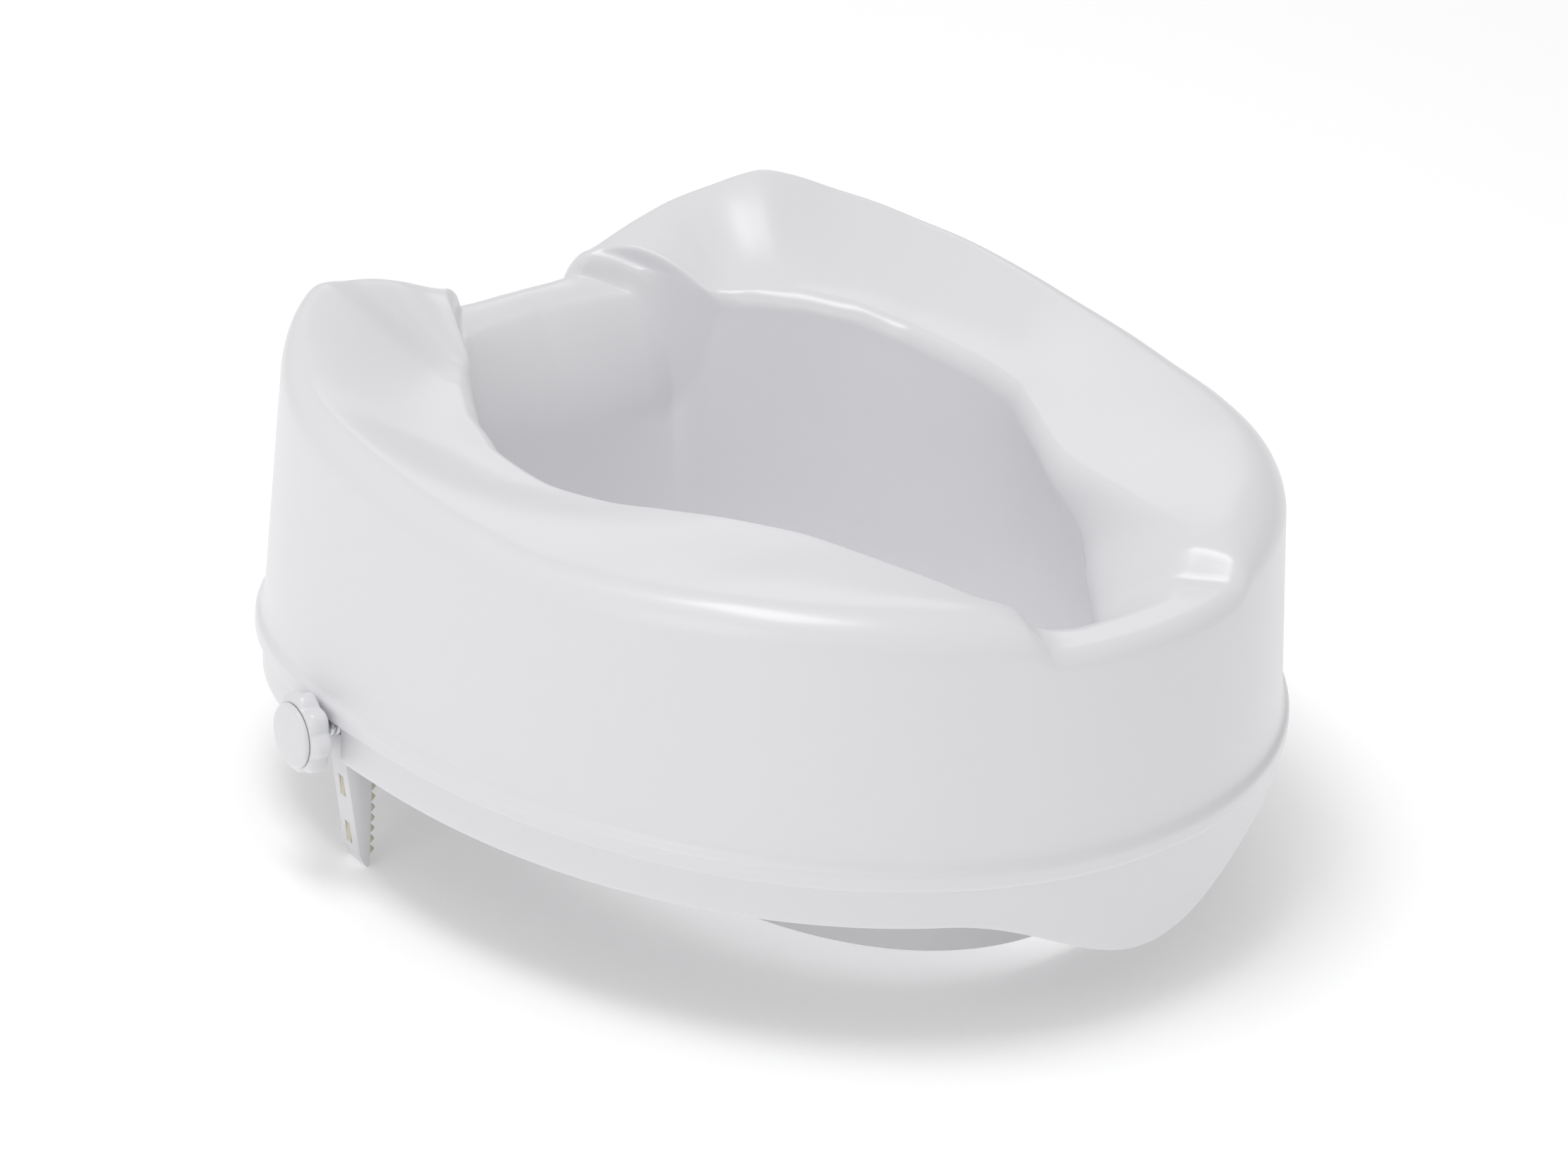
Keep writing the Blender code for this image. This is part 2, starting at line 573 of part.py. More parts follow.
def round_cut(side, name, profile, sides=24):
    """A cutter about the screw's axis."""
    bm = bmesh.new()
    turned(bm, profile, sides)
    return clamp_piece(bm, side, name, smooth=False)


def box_cut(side, name, low, high):
    """A cutter, or a block to join on, between two corners."""
    bm = bmesh.new()
    add_box(bm, low, high)
    return clamp_piece(bm, side, name, smooth=False)


def leg_face_x(height):
    """Outer face of the leg at a height, below the knee where it begins to lean inwards."""
    share = (LEG_KNEE_Z - height) / (LEG_KNEE_Z - LEG_HEEL_Z)
    return LEG_OUTER_X + (LEG_OUTER_FOOT_X - LEG_OUTER_X) * min(max(share, 0), 1)


def build_bracket(side, name, material, carrier):
    """Leg of the clamp: its inner face has a channel for the pad and a pocket for the nut."""
    half = LEG_WIDTH / 2
    profile = [(LEG_INNER_X, LEG_TOP_Z), (LEG_OUTER_X - 2 * MM, LEG_TOP_Z), (LEG_OUTER_X, LEG_TOP_Z - 2 * MM),
               (LEG_OUTER_X, LEG_KNEE_Z), (LEG_OUTER_FOOT_X, LEG_HEEL_Z),
               (LEG_OUTER_FOOT_X - 1.2 * MM, LEG_HEEL_Z - 2.5 * MM),
               (LEG_INNER_X + 2.2 * MM, LEG_FOOT_Z + 1.2 * MM),
               (LEG_INNER_X + 1.3 * MM, LEG_FOOT_Z), (LEG_INNER_X + 0.4 * MM, LEG_FOOT_Z + 0.5 * MM),
               (LEG_INNER_X, LEG_FOOT_Z + 1.8 * MM)]
    bm = bmesh.new()
    extrude_outline(bm, [Vector((x, -half, z)) for x, z in profile], (0, LEG_WIDTH, 0))
    corners = [edge for edge in bm.edges
               if abs(edge.verts[0].co.y - edge.verts[1].co.y) < 1e-6
               and min(vert.co.x - leg_face_x(vert.co.z) for vert in edge.verts) > -0.1 * MM]
    bmesh.ops.bevel(bm, geom=corners, offset=1.2 * MM, segments=2, affect="EDGES")
    bracket = clamp_piece(bm, side, f"clamp_bracket_{name}", material, carrier)
    channel = half - LEG_SIDE
    floor = LEG_OUTER_FOOT_X - LEG_FLOOR
    boolean(bracket, box_cut(side, f"channel_{name}", (LEG_INNER_X - 5 * MM, -channel, PAD_FOOT_Z - FIT_GAP),
                             (floor, channel, PAD_TOP_Z + FIT_GAP)), "DIFFERENCE")
    for index, centre in enumerate(TAB_CENTRES_Z):
        wide, high = TAB_WIDTH / 2 + FIT_GAP, TAB_HEIGHT / 2 + FIT_GAP
        boolean(bracket, box_cut(side, f"tab_slot_{index}_{name}", (LEG_INNER_X + 1 * MM, -wide, centre - high),
                                 (LEG_OUTER_X + 5 * MM, wide, centre + high)), "DIFFERENCE")
    bore = SCREW_RADIUS + 0.5 * MM
    boolean(bracket, round_cut(side, f"bracket_hole_{name}", [(LEG_INNER_X - 5 * MM, bore),
                                                              (LEG_OUTER_X + 5 * MM, bore)]), "DIFFERENCE")
    pocket = hexagon_radius(NUT_ACROSS_FLATS + 2 * FIT_GAP)
    boolean(bracket, round_cut(side, f"nut_pocket_{name}", [(LEG_INNER_X - 5 * MM, pocket),
                                                            (LEG_INNER_X + NUT_HEIGHT + 0.5 * MM, pocket)], 6),
            "DIFFERENCE")


def pad_profile():
    """Side outline of the serrated pad: a flat back in the channel and rounded teeth."""
    back = LEG_OUTER_FOOT_X - LEG_FLOOR - FIT_GAP
    points = [(back, PAD_FOOT_Z), (back, PAD_TOP_Z)]
    pitch = (PAD_TOP_Z - PAD_FOOT_Z) / PAD_TEETH
    for index in range(4 * PAD_TEETH + 1):
        wave = (0.5 - 0.5 * math.cos(math.pi * index / 2)) ** 0.7
        points.append((LEG_INNER_X - 0.9 * MM - PAD_TOOTH_DEPTH * wave, PAD_TOP_Z - pitch * index / 4))
    return points


def build_pad(side, name, material, carrier):
    """Rubber pad with teeth towards the bowl and two tabs through the leg."""
    half = LEG_WIDTH / 2 - LEG_SIDE - FIT_GAP
    bm = bmesh.new()
    extrude_outline(bm, [Vector((x, -half, z)) for x, z in pad_profile()], (0, 2 * half, 0))
    pad = clamp_piece(bm, side, f"clamp_pad_{name}", material, carrier, smooth=False)
    for index, centre in enumerate(TAB_CENTRES_Z):
        face = leg_face_x(centre + TAB_HEIGHT / 2) - 0.8 * MM
        low = (LEG_INNER_X + 0.8 * MM, -TAB_WIDTH / 2, centre - TAB_HEIGHT / 2)
        high = (face, TAB_WIDTH / 2, centre + TAB_HEIGHT / 2)
        boolean(pad, box_cut(side, f"pad_tab_{index}_{name}", low, high), "UNION")


def bored(side, name, profile, sides, bore, material, carrier):
    """A round or hexagonal piece on the screw, with its bore."""
    bm = bmesh.new()
    turned(bm, profile, sides)
    piece = clamp_piece(bm, side, name, material, carrier, smooth=False)
    start, end = profile[0][0] - 2 * MM, profile[-1][0] + 2 * MM
    boolean(piece, round_cut(side, f"bore_{name}", [(start, bore), (end, bore)]), "DIFFERENCE")


def clip_positions():
    """The two clip grooves along the screw, one each side of the thrust wall."""
    half = THRUST_WALL_THICKNESS / 2 + 0.4 * MM
    return THRUST_WALL_X - half - CLIP_THICKNESS, THRUST_WALL_X + half


def build_screw(side, name, material, carrier):
    """Clamp screw with two clip grooves and the hexagonal head that sits in the knob."""
    gap = 0.15 * MM
    head = HEAD_RECESS + 0.4 * MM
    radius = SCREW_RADIUS
    profile = [(SCREW_INNER_X, radius - 1.0 * MM), (SCREW_INNER_X + 1 * MM, radius)]
    for groove in clip_positions():
        profile += [(groove - gap, radius), (groove - gap, GROOVE_RADIUS),
                    (groove + CLIP_THICKNESS + gap, GROOVE_RADIUS), (groove + CLIP_THICKNESS + gap, radius)]
    profile.append((head + 1 * MM, radius))
    bm = bmesh.new()
    turned(bm, profile, 20)
    screw = clamp_piece(bm, side, f"clamp_screw_{name}", material, carrier)
    flats = hexagon_radius(NUT_ACROSS_FLATS)
    boolean(screw, round_cut(side, f"screw_head_{name}", [(head, flats), (head + 4.0 * MM, flats)], 6), "UNION")


def build_clips(side, name, material, carrier):
    """Retaining clips: open rings in the screw's grooves."""
    opening, steps = math.radians(50), 16
    for label, place in zip(("inner", "outer"), clip_positions()):
        points = []
        grip = GROOVE_RADIUS + 0.1 * MM
        for radius, order in ((CLIP_RADIUS, range(steps + 1)), (grip, range(steps, -1, -1))):
            for index in order:
                turn = opening / 2 + (2 * math.pi - opening) * index / steps
                points.append(Vector((place, radius * math.sin(turn), -radius * math.cos(turn))))
        bm = bmesh.new()
        extrude_outline(bm, points, (CLIP_THICKNESS, 0, 0))
        clamp_piece(bm, side, f"retaining_clip_{label}_{name}", material, carrier, smooth=False)


def build_knob(side, name, material, carrier):
    """Lobed hand knob with a pocket for the screw's head and a recess for its cap."""
    samples = 8 * KNOB_LOBES
    rings = []
    for distance, shrink, lobes in ((0, 1.4, 0.5), (1.2, 0.2, 1.0), (6.6, 0.2, 1.0), (7.8, 1.0, 0.8),
                                    (KNOB_THICKNESS / MM, 2.2, 0.3)):
        ring = []
        for index in range(samples):
            turn = 2 * math.pi * index / samples
            wave = 0.5 + 0.5 * math.cos(KNOB_LOBES * turn)
            radius = KNOB_RADIUS - shrink * MM - lobes * KNOB_LOBE_DEPTH * (1 - wave ** 0.7)
            ring.append(Vector((distance * MM, radius * math.cos(turn), radius * math.sin(turn))))
        rings.append(ring)
    bm = bmesh.new()
    loft(bm, rings)
    knob = clamp_piece(bm, side, f"clamp_knob_{name}", material, carrier)
    bore, pocket = SCREW_RADIUS + FIT_GAP, hexagon_radius(NUT_ACROSS_FLATS + 2 * FIT_GAP)
    recess = CAP_RADIUS - 0.6 * MM + FIT_GAP
    far = KNOB_THICKNESS + 3 * MM
    boolean(knob, round_cut(side, f"knob_hole_{name}", [(-3 * MM, bore), (5 * MM, bore)]), "DIFFERENCE")
    head_pocket = round_cut(side, f"knob_pocket_{name}", [(HEAD_RECESS, pocket), (far, pocket)], 6)
    cap_recess = round_cut(side, f"cap_recess_{name}", [(KNOB_THICKNESS - 0.8 * MM, recess), (far, recess)], 40)
    boolean(knob, head_pocket, "DIFFERENCE")
    boolean(knob, cap_recess, "DIFFERENCE")


def build_cap(side, name, material, carrier):
    """Domed cap that snaps into the knob over the screw's head."""
    face = KNOB_THICKNESS
    plug = CAP_RADIUS - 0.6 * MM
    profile = [(face - 0.5 * MM, plug - 0.4 * MM), (face - 0.2 * MM, plug), (face + 0.2 * MM, plug),
               (face + 0.4 * MM, CAP_RADIUS), (face + CAP_HEIGHT - 1.5 * MM, CAP_RADIUS - 0.2 * MM),
               (face + CAP_HEIGHT - 0.7 * MM, CAP_RADIUS - 1.2 * MM),
               (face + CAP_HEIGHT - 0.3 * MM, CAP_RADIUS - 3 * MM), (face + CAP_HEIGHT, CAP_RADIUS - 7 * MM)]
    bm = bmesh.new()
    turned(bm, profile, 40)
    clamp_piece(bm, side, f"knob_cap_{name}", material, carrier)


def build_keeper(side, name, keeper_material, screw_material):
    """Keeper that closes the thrust wall's slot from below, with its two fixing screws."""
    half = THRUST_WALL_THICKNESS / 2
    top = THRUST_WALL_FOOT_Z - FIT_GAP
    foot = top - KEEPER_HEIGHT
    bm = bmesh.new()
    add_box(bm, (THRUST_WALL_X - half, -THRUST_WALL_HALF_LENGTH, foot),
            (THRUST_WALL_X + half, THRUST_WALL_HALF_LENGTH, top))
    keeper = clamp_piece(bm, side, f"screw_keeper_{name}", keeper_material, smooth=False)
    bore = SCREW_RADIUS + FIT_GAP
    groove = [(THRUST_WALL_X - half - 2 * MM, bore), (THRUST_WALL_X + half + 2 * MM, bore)]
    boolean(keeper, round_cut(side, f"keeper_groove_{name}", groove), "DIFFERENCE")
    for cutter in keeper_screw_bores(side, name, KEEPER_SCREW_RADIUS + 0.3 * MM, foot - 2 * MM, top + 2 * MM):
        boolean(keeper, cutter, "DIFFERENCE")
    tip = THRUST_WALL_FOOT_Z + KEEPER_SCREW_LENGTH - 1 * MM
    for end, label in ((-1, "front"), (1, "rear")):
        thin, wide = KEEPER_SCREW_RADIUS, 2 * KEEPER_SCREW_RADIUS
        profile = [(foot - 1.9 * MM, wide - 0.6 * MM), (foot - 1.2 * MM, wide), (foot - 0.2 * MM, wide),
                   (foot - 0.2 * MM, thin), (tip - 1 * MM, thin), (tip, thin - 0.8 * MM)]
        screw = bmesh.new()
        upright(screw, profile, THRUST_WALL_X, end * KEEPER_SCREW_OFFSET, 12)
        clamp_piece(screw, side, f"keeper_screw_{label}_{name}", screw_material)


def build_clamp(side, name, materials):
    """All pieces of one side clamp, hung on the two empties of its moving bodies."""
    axis = clamp_frame(side).translation
    spindle = empty(f"spindle_axis_{name}", axis)
    slider = empty(f"bracket_slide_{name}", axis)
    build_bracket(side, name, materials["white"], slider)
    build_pad(side, name, materials["cream"], slider)
    bored(side, f"clamp_nut_{name}", [(LEG_INNER_X + 0.2 * MM, hexagon_radius(NUT_ACROSS_FLATS)),
                                      (LEG_INNER_X + NUT_HEIGHT, hexagon_radius(NUT_ACROSS_FLATS))], 6,
          SCREW_RADIUS + FIT_GAP, materials["steel"], slider)
    build_screw(side, name, materials["steel"], spindle)
    build_clips(side, name, materials["steel"], spindle)
    build_knob(side, name, materials["white"], spindle)
    build_cap(side, name, materials["white"], spindle)
    build_keeper(side, name, materials["natural"], materials["steel"])


def main():
    clear_scene()
    materials = {
        "white": plastic("white_plastic", WHITE, 0.22),
        "natural": plastic("natural_plastic", (0.8, 0.8, 0.78), 0.5),
        "cream": plastic("cream_rubber", CREAM, 0.7),
        "grey": plastic("grey_rubber", GREY, 0.75),
        "steel": plastic("zinc_steel", STEEL, 0.35, 1.0),
    }
    build_shell(materials["white"])
    build_buffers(materials["grey"])
    for side, name in ((1, "right"), (-1, "left")):
        build_clamp(side, name, materials)


main()
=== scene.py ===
"""Looks of the raised toilet seat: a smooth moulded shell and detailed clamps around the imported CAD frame."""
import json
import math

import bmesh
import bpy
import numpy as np
from mathutils import Matrix, Vector

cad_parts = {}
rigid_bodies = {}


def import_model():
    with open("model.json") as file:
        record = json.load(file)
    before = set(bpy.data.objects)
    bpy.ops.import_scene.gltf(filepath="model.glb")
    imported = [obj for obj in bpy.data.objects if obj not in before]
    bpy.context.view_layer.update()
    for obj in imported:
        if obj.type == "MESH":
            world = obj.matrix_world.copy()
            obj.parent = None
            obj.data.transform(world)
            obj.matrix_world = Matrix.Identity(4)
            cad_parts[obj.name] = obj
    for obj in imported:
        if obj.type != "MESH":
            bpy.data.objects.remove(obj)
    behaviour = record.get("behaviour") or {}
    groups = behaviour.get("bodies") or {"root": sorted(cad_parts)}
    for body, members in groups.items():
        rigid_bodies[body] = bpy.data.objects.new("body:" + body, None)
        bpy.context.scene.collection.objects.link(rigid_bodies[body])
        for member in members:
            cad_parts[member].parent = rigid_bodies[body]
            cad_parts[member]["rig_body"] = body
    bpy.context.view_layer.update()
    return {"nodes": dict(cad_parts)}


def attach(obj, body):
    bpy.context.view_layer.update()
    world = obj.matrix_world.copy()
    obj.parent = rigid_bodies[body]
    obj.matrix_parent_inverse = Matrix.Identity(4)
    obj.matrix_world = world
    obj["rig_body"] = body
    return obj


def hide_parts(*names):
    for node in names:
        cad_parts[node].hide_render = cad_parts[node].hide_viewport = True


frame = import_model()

MM = 0.001
# Gap between pieces that touch or slide, and how far a cutter reaches past the face that it opens.
FIT_GAP = 0.3 * MM
CUT_PAST = 5 * MM

# Outline of the seat at the shoulder bead.
SEAT_WIDTH = 360 * MM
SEAT_LENGTH = 385 * MM
WIDEST_Y = 23.5 * MM
FRONT_POWER = 2.05
REAR_POWER = 2.65
BEAD_Z = 65 * MM
WALL = 3.0 * MM
SKIRT_DEPTH = 15.6 * MM
SKIRT_INSET = 3.2 * MM
SKIRT_EDGE = 0.6 * MM
SKIRT_TOP = -1.6 * MM
TONGUE_DROP = 22.5 * MM
TONGUE_HALF_WIDTH = 82 * MM
WALL_INSET = 3.5 * MM
WALL_FOOT = 14 * MM
FRONT_DRAFT = 0.085
REAR_DRAFT = 0.045
SLEEVE_DROP = 43 * MM
SLEEVE_FRONT_DROP = 53 * MM
SLEEVE_HALF_WIDTH = 99 * MM
SLEEVE_FRONT = 140.5 * MM
SLEEVE_REAR = 136 * MM
SLEEVE_POWER = 2.25
LIP_SOFTNESS = 6 * MM
SEAT_SLOPE_SHARE = 0.5
# Handles of the cubic curves, as shares of the corner that each of them rounds.
ROUND_HANDLE = 0.55
WALL_HANDLE = 0.45
# Shoulder bead, from the skirt up to the outer wall, in millimetres: inset and height.
BEAD_PROFILE = [(3.2, -0.9), (2.95, -0.45), (2.4, -0.12), (1.6, 0.0), (0.9, 0.1), (0.35, 0.5), (0.08, 1.1),
                (0.0, 1.9), (0.0, 2.8), (0.0, 3.8), (0.02, 4.8), (0.12, 5.7), (0.4, 6.5), (0.85, 7.1),
                (1.35, 7.6), (1.85, 8.1), (2.3, 8.7), (2.7, 9.5), (3.0, 10.6), (3.25, 12.0), (3.5, 14.0)]

# Ribs under the seat, each with its inner point (x, y) and heading, and the rubber buffers under them.
RIB_THICKNESS = 3.0 * MM
RIB_FOOT_Z = BEAD_Z + 1.5 * MM
RIB_START = 30 * MM
RIB_LINES = {"front": (46.65 * MM, -127.13 * MM, math.radians(-15.43)),
             "middle": (62.14 * MM, -58.12 * MM, math.radians(3.28)),
             "rear": (85.02 * MM, 113.90 * MM, math.radians(50.39))}
BUFFER_REACH = {"front": 34 * MM, "rear": 27 * MM}
BUFFER_LENGTH = 26 * MM
BUFFER_WIDTH = 13 * MM
BUFFER_BASE = 5.5 * MM
BUFFER_GRIP = 6 * MM

# Side clamp, laid out from the middle of the knob's back face: x along the screw, outwards, z up.
CLAMP_X = 180.2 * MM
CLAMP_Y = 63.5 * MM
CLAMP_Z = BEAD_Z - 6 * MM
CLAMP_TURN = math.radians(8)
LEG_WIDTH = 12 * MM
LEG_CHAMFER = 2 * MM
LEG_TOP_Z = 12 * MM
LEG_OUTER_X = -10.4 * MM
LEG_OUTER_FOOT_X = -16.4 * MM
LEG_INNER_X = -21.4 * MM
LEG_KNEE_Z = -14 * MM
LEG_HEEL_Z = -52.5 * MM
LEG_FOOT_Z = -59.0 * MM
LEG_FLOOR = 2.2 * MM
LEG_SIDE = 1.8 * MM
PAD_TOP_Z = -11.5 * MM
PAD_FOOT_Z = -55.3 * MM
PAD_PROUD = 0.9 * MM
PAD_TEETH = 10
PAD_TOOTH_DEPTH = 2.0 * MM
TAB_HEIGHT = 8 * MM
TAB_WIDTH = 3.2 * MM
TAB_RECESS = 0.8 * MM
TAB_CENTRES_Z = (-25.5 * MM, -45.5 * MM)
CUTOUT_WIDTH = 20 * MM
CUTOUT_TOP_Z = 5.0 * MM
CUTOUT_CORNER = 3 * MM
CUTOUT_INNER_X = -13 * MM
CUTOUT_REACH = 20 * MM
GUIDE_GAP = LEG_WIDTH + 1.4 * MM
GUIDE_START_X = -120 * MM
THRUST_WALL_X = -50 * MM
THRUST_WALL_THICKNESS = 6 * MM
THRUST_WALL_HALF_LENGTH = 13 * MM
THRUST_WALL_FOOT_Z = -3.0 * MM
THRUST_WALL_TOP_Z = 24 * MM
SCREW_RADIUS = 3.5 * MM
SCREW_INNER_X = -58.5 * MM
TIP_CHAMFER = 1 * MM
HEAD_HEIGHT = 4 * MM
THREAD_START_X = THRUST_WALL_X + 7 * MM
THREAD_END_X = -1 * MM
THREAD_PITCH = 2.5 * MM
THREAD_DEPTH = 0.55 * MM
THREAD_FLANKS = 0.75
THREAD_RUN_IN = 1.5 * MM
CLIP_THICKNESS = 1.2 * MM
CLIP_RADIUS = 6.3 * MM
CLIP_OPENING = math.radians(50)
GROOVE_RADIUS = 2.7 * MM
GROOVE_GAP = 0.15 * MM
KEEPER_TOP_Z = THRUST_WALL_FOOT_Z - FIT_GAP
KEEPER_FOOT_Z = KEEPER_TOP_Z - 5 * MM
KEEPER_SCREW_OFFSET = 8.8 * MM
KEEPER_SCREW_RADIUS = 1.3 * MM
KEEPER_SCREW_LENGTH = 11 * MM
KNOB_LOBES = 8
KNOB_RADIUS = 15.75 * MM
KNOB_LOBE_DEPTH = 2.2 * MM
KNOB_THICKNESS = 8.4 * MM
# Outside of the knob from its back to its face, in millimetres: distance along the screw, how far the
# edge is drawn in from the full radius, and the share of the lobes' depth.
KNOB_PROFILE = [(0.0, 4.5, 0.2), (0.12, 2.6, 0.5), (0.35, 1.6, 0.75), (0.75, 0.8, 0.9), (1.3, 0.25, 1.0),
                (2.2, 0.0, 1.0), (3.4, 0.0, 1.0), (4.6, 0.0, 1.0), (5.6, 0.05, 1.0), (6.4, 0.25, 1.0),
                (7.1, 0.65, 0.9), (7.65, 1.15, 0.75), (8.05, 1.75, 0.55), (8.28, 2.3, 0.3), (8.38, 2.75, 0.1),
                (8.4, 3.1, 0.0)]
CAP_RADIUS = 12.25 * MM
CAP_HEIGHT = 3.0 * MM
CAP_LEDGE = 0.6 * MM
HEAD_RECESS = 3.0 * MM
NUT_ACROSS_FLATS = 10 * MM
NUT_HEIGHT = 6 * MM

# Sections from the front centre round to the rear centre, in degrees and millimetres, with heights
# above the bead: angle, start of the inner lip (x, y, height), start of the inner wall (x, y, height),
# rim height, edge rounding, crown and sideways bow of the seat surface.
SECTIONS = [
    (0.0, 0.0, -166.5, 82.6, 0.0, -145.5, 59.0, 83.0, 7.0, 0.1, 0.0),
    (7.0, 20.5, -165.5, 82.6, 7.5, -143.0, 60.0, 83.0, 7.0, 0.1, 0.0),
    (11.0, 31.0, -161.0, 82.4, 13.5, -138.0, 61.5, 83.3, 7.0, 0.0, 0.0),
    (12.9, 35.5, -157.5, 83.2, 17.0, -133.5, 62.5, 84.5, 7.5, 0.0, 0.0),
    (14.3, 40.5, -155.0, 88.0, 20.5, -129.0, 63.5, 88.5, 8.5, 0.0, 0.0),
    (15.6, 45.0, -152.5, 92.3, 23.5, -125.0, 64.0, 92.3, 10.0, 0.2, 0.0),
    (19.0, 49.5, -147.0, 93.8, 29.5, -117.5, 64.5, 95.2, 12.0, 0.7, 0.0),
    (24.0, 52.5, -139.0, 94.0, 36.0, -109.5, 65.0, 97.3, 13.5, 1.1, 0.0),
    (32.0, 54.3, -127.0, 94.0, 42.5, -102.5, 66.5, 98.6, 14.0, 1.3, 0.0),
    (45.0, 58.5, -102.6, 93.5, 49.8, -91.0, 74.0, 98.0, 14.0, 1.4, 0.0),
    (60.0, 64.3, -69.8, 92.6, 56.8, -68.5, 82.0, 95.3, 14.0, 1.0, 0.0),
    (72.0, 77.3, -43.9, 92.6, 69.5, -45.5, 84.6, 93.8, 14.0, 0.4, 0.0),
    (82.0, 91.6, -20.1, 91.5, 84.0, -22.5, 83.5, 95.3, 14.0, -0.2, 0.0),
    (90.0, 102.4, -0.4, 90.0, 95.0, -3.5, 82.0, 97.1, 14.0, -0.8, 0.0),
    (100.0, 109.0, 30.5, 88.5, 101.8, 27.0, 80.5, 100.4, 14.0, -1.8, 0.0),
    (112.0, 107.3, 60.2, 89.5, 100.5, 56.0, 81.5, 104.6, 12.0, -2.4, 0.0),
    (118.0, 103.4, 71.8, 90.9, 97.0, 67.1, 82.9, 106.8, 11.1, -2.3, 0.0),
    (125.0, 98.9, 85.4, 92.5, 93.0, 80.0, 84.5, 110.8, 10.0, -2.2, 0.0),
    (131.0, 92.8, 95.0, 93.2, 87.5, 89.0, 85.2, 114.3, 9.2, -2.0, 0.0),
    (137.0, 86.7, 104.5, 93.8, 82.0, 98.0, 85.8, 119.0, 8.5, -1.8, 0.0),
    (141.0, 82.5, 109.1, 93.3, 78.7, 102.5, 85.3, 121.0, 8.7, -1.8, 0.0),
    (144.0, 79.4, 112.5, 93.0, 76.3, 106.0, 85.0, 119.2, 8.8, -1.8, 0.0),
    (148.0, 75.2, 117.1, 92.5, 73.0, 110.5, 84.5, 115.5, 9.0, -1.8, 0.0),
    (154.0, 69.2, 123.0, 91.0, 68.5, 116.5, 83.0, 111.0, 11.0, -1.0, 0.0),
    (158.0, 65.8, 125.5, 90.3, 66.3, 119.5, 82.3, 107.5, 13.5, 0.5, 0.0),
    (162.0, 62.6, 128.1, 90.0, 64.2, 122.3, 82.0, 103.1, 13.5, 2.8, 0.4),
    (164.0, 60.7, 129.6, 90.1, 62.8, 124.0, 82.1, 100.9, 13.5, 4.3, 0.8),
    (165.8, 59.0, 131.4, 90.3, 61.5, 126.0, 81.3, 99.2, 13.5, 5.1, 1.2),
    (167.0, 49.5, 153.4, 93.0, 56.0, 133.5, 45.0, 97.8, 13.5, 0.8, 1.1),
    (168.2, 45.8, 156.3, 92.8, 51.8, 138.5, 40.5, 95.4, 13.5, 0.9, 0.6),
    (168.9, 44.4, 156.1, 88.0, 49.5, 138.3, 39.0, 92.4, 13.5, 0.6, 0.5),
    (169.5, 42.4, 155.9, 83.7, 46.8, 138.2, 38.7, 87.9, 13.5, 0.4, 0.5),
    (172.5, 35.7, 158.2, 83.8, 38.0, 138.3, 38.3, 87.9, 13.5, 0.8, 0.3),
    (176.0, 19.2, 160.5, 84.3, 20.0, 138.5, 37.3, 87.9, 13.5, 1.0, 0.0),
    (180.0, 0.0, 162.5, 84.5, 0.0, 138.5, 36.5, 87.9, 13.5, 1.0, 0.0),
]
# Columns that hold an x, which changes its sign on the left half.
SIDEWAYS_COLUMNS = (1, 4)
# The modelled sections as start, end and count, closer together at the two notches, and the step and
# blur of the table between its rows, in degrees.
SECTION_STEPS = [(0, 24, 80), (24, 150, 150), (150, 180, 120)]
TABLE_STEP = 0.1
TABLE_BLUR = 0.25


def smooth_interpolate(known, values, wanted):
    """Monotone cubic interpolation of a table, flat at both ends, so that no step overshoots."""
    known, values = np.asarray(known, float), np.asarray(values, float)
    steps = np.diff(known)
    slopes = np.diff(values) / steps
    tangents = np.zeros(len(known))
    for index in range(1, len(known) - 1):
        before, after = slopes[index - 1], slopes[index]
        if before * after > 0:
            weight_1 = 2 * steps[index] + steps[index - 1]
            weight_2 = steps[index] + 2 * steps[index - 1]
            tangents[index] = (weight_1 + weight_2) / (weight_1 / before + weight_2 / after)
    place = np.clip(np.searchsorted(known, wanted, side="right") - 1, 0, len(steps) - 1)
    step = steps[place]
    share = (np.asarray(wanted) - known[place]) / step
    square, cube = share ** 2, share ** 3
    return ((2 * cube - 3 * square + 1) * values[place] + (cube - 2 * square + share) * step * tangents[place]
            + (3 * square - 2 * cube) * values[place + 1] + (cube - square) * step * tangents[place + 1])


def superellipse(directions, half_width, front, rear, centre_y, front_power, rear_power):
    """Points of a rounded outline in the given unit directions from its centre."""
    depth = np.where(directions[:, 1] < 0, front, rear)
    power = np.where(directions[:, 1] < 0, front_power, rear_power)
    reach = (np.abs(directions[:, 0] / half_width) ** power + np.abs(directions[:, 1] / depth) ** power)
    radius = reach ** (-1.0 / power)
    return directions * radius[:, None] + np.array((0.0, centre_y))


def seat_outline(angles):
    """Outline of the bead, by angle in degrees from the front centre."""
    turn = np.radians(angles)
    directions = np.column_stack((np.sin(turn), -np.cos(turn)))
    rear = SEAT_LENGTH / 2 - WIDEST_Y
    front = SEAT_LENGTH / 2 + WIDEST_Y
    return superellipse(directions, SEAT_WIDTH / 2, front, rear, WIDEST_Y, FRONT_POWER, REAR_POWER)


def outward_normals(angles):
    """Unit normals of the bead's outline, pointing out of the seat."""
    step = 0.05
    tangent = seat_outline(angles + step) - seat_outline(angles - step)
    normal = np.column_stack((tangent[:, 1], -tangent[:, 0]))
    return normal / np.linalg.norm(normal, axis=1)[:, None]


def bezier(start, start_handle, end_handle, end, share):
    """Points at one share of cubic curves."""
    rest = 1 - share
    return (rest ** 3 * start + 3 * rest ** 2 * share * start_handle
            + 3 * rest * share ** 2 * end_handle + share ** 3 * end)


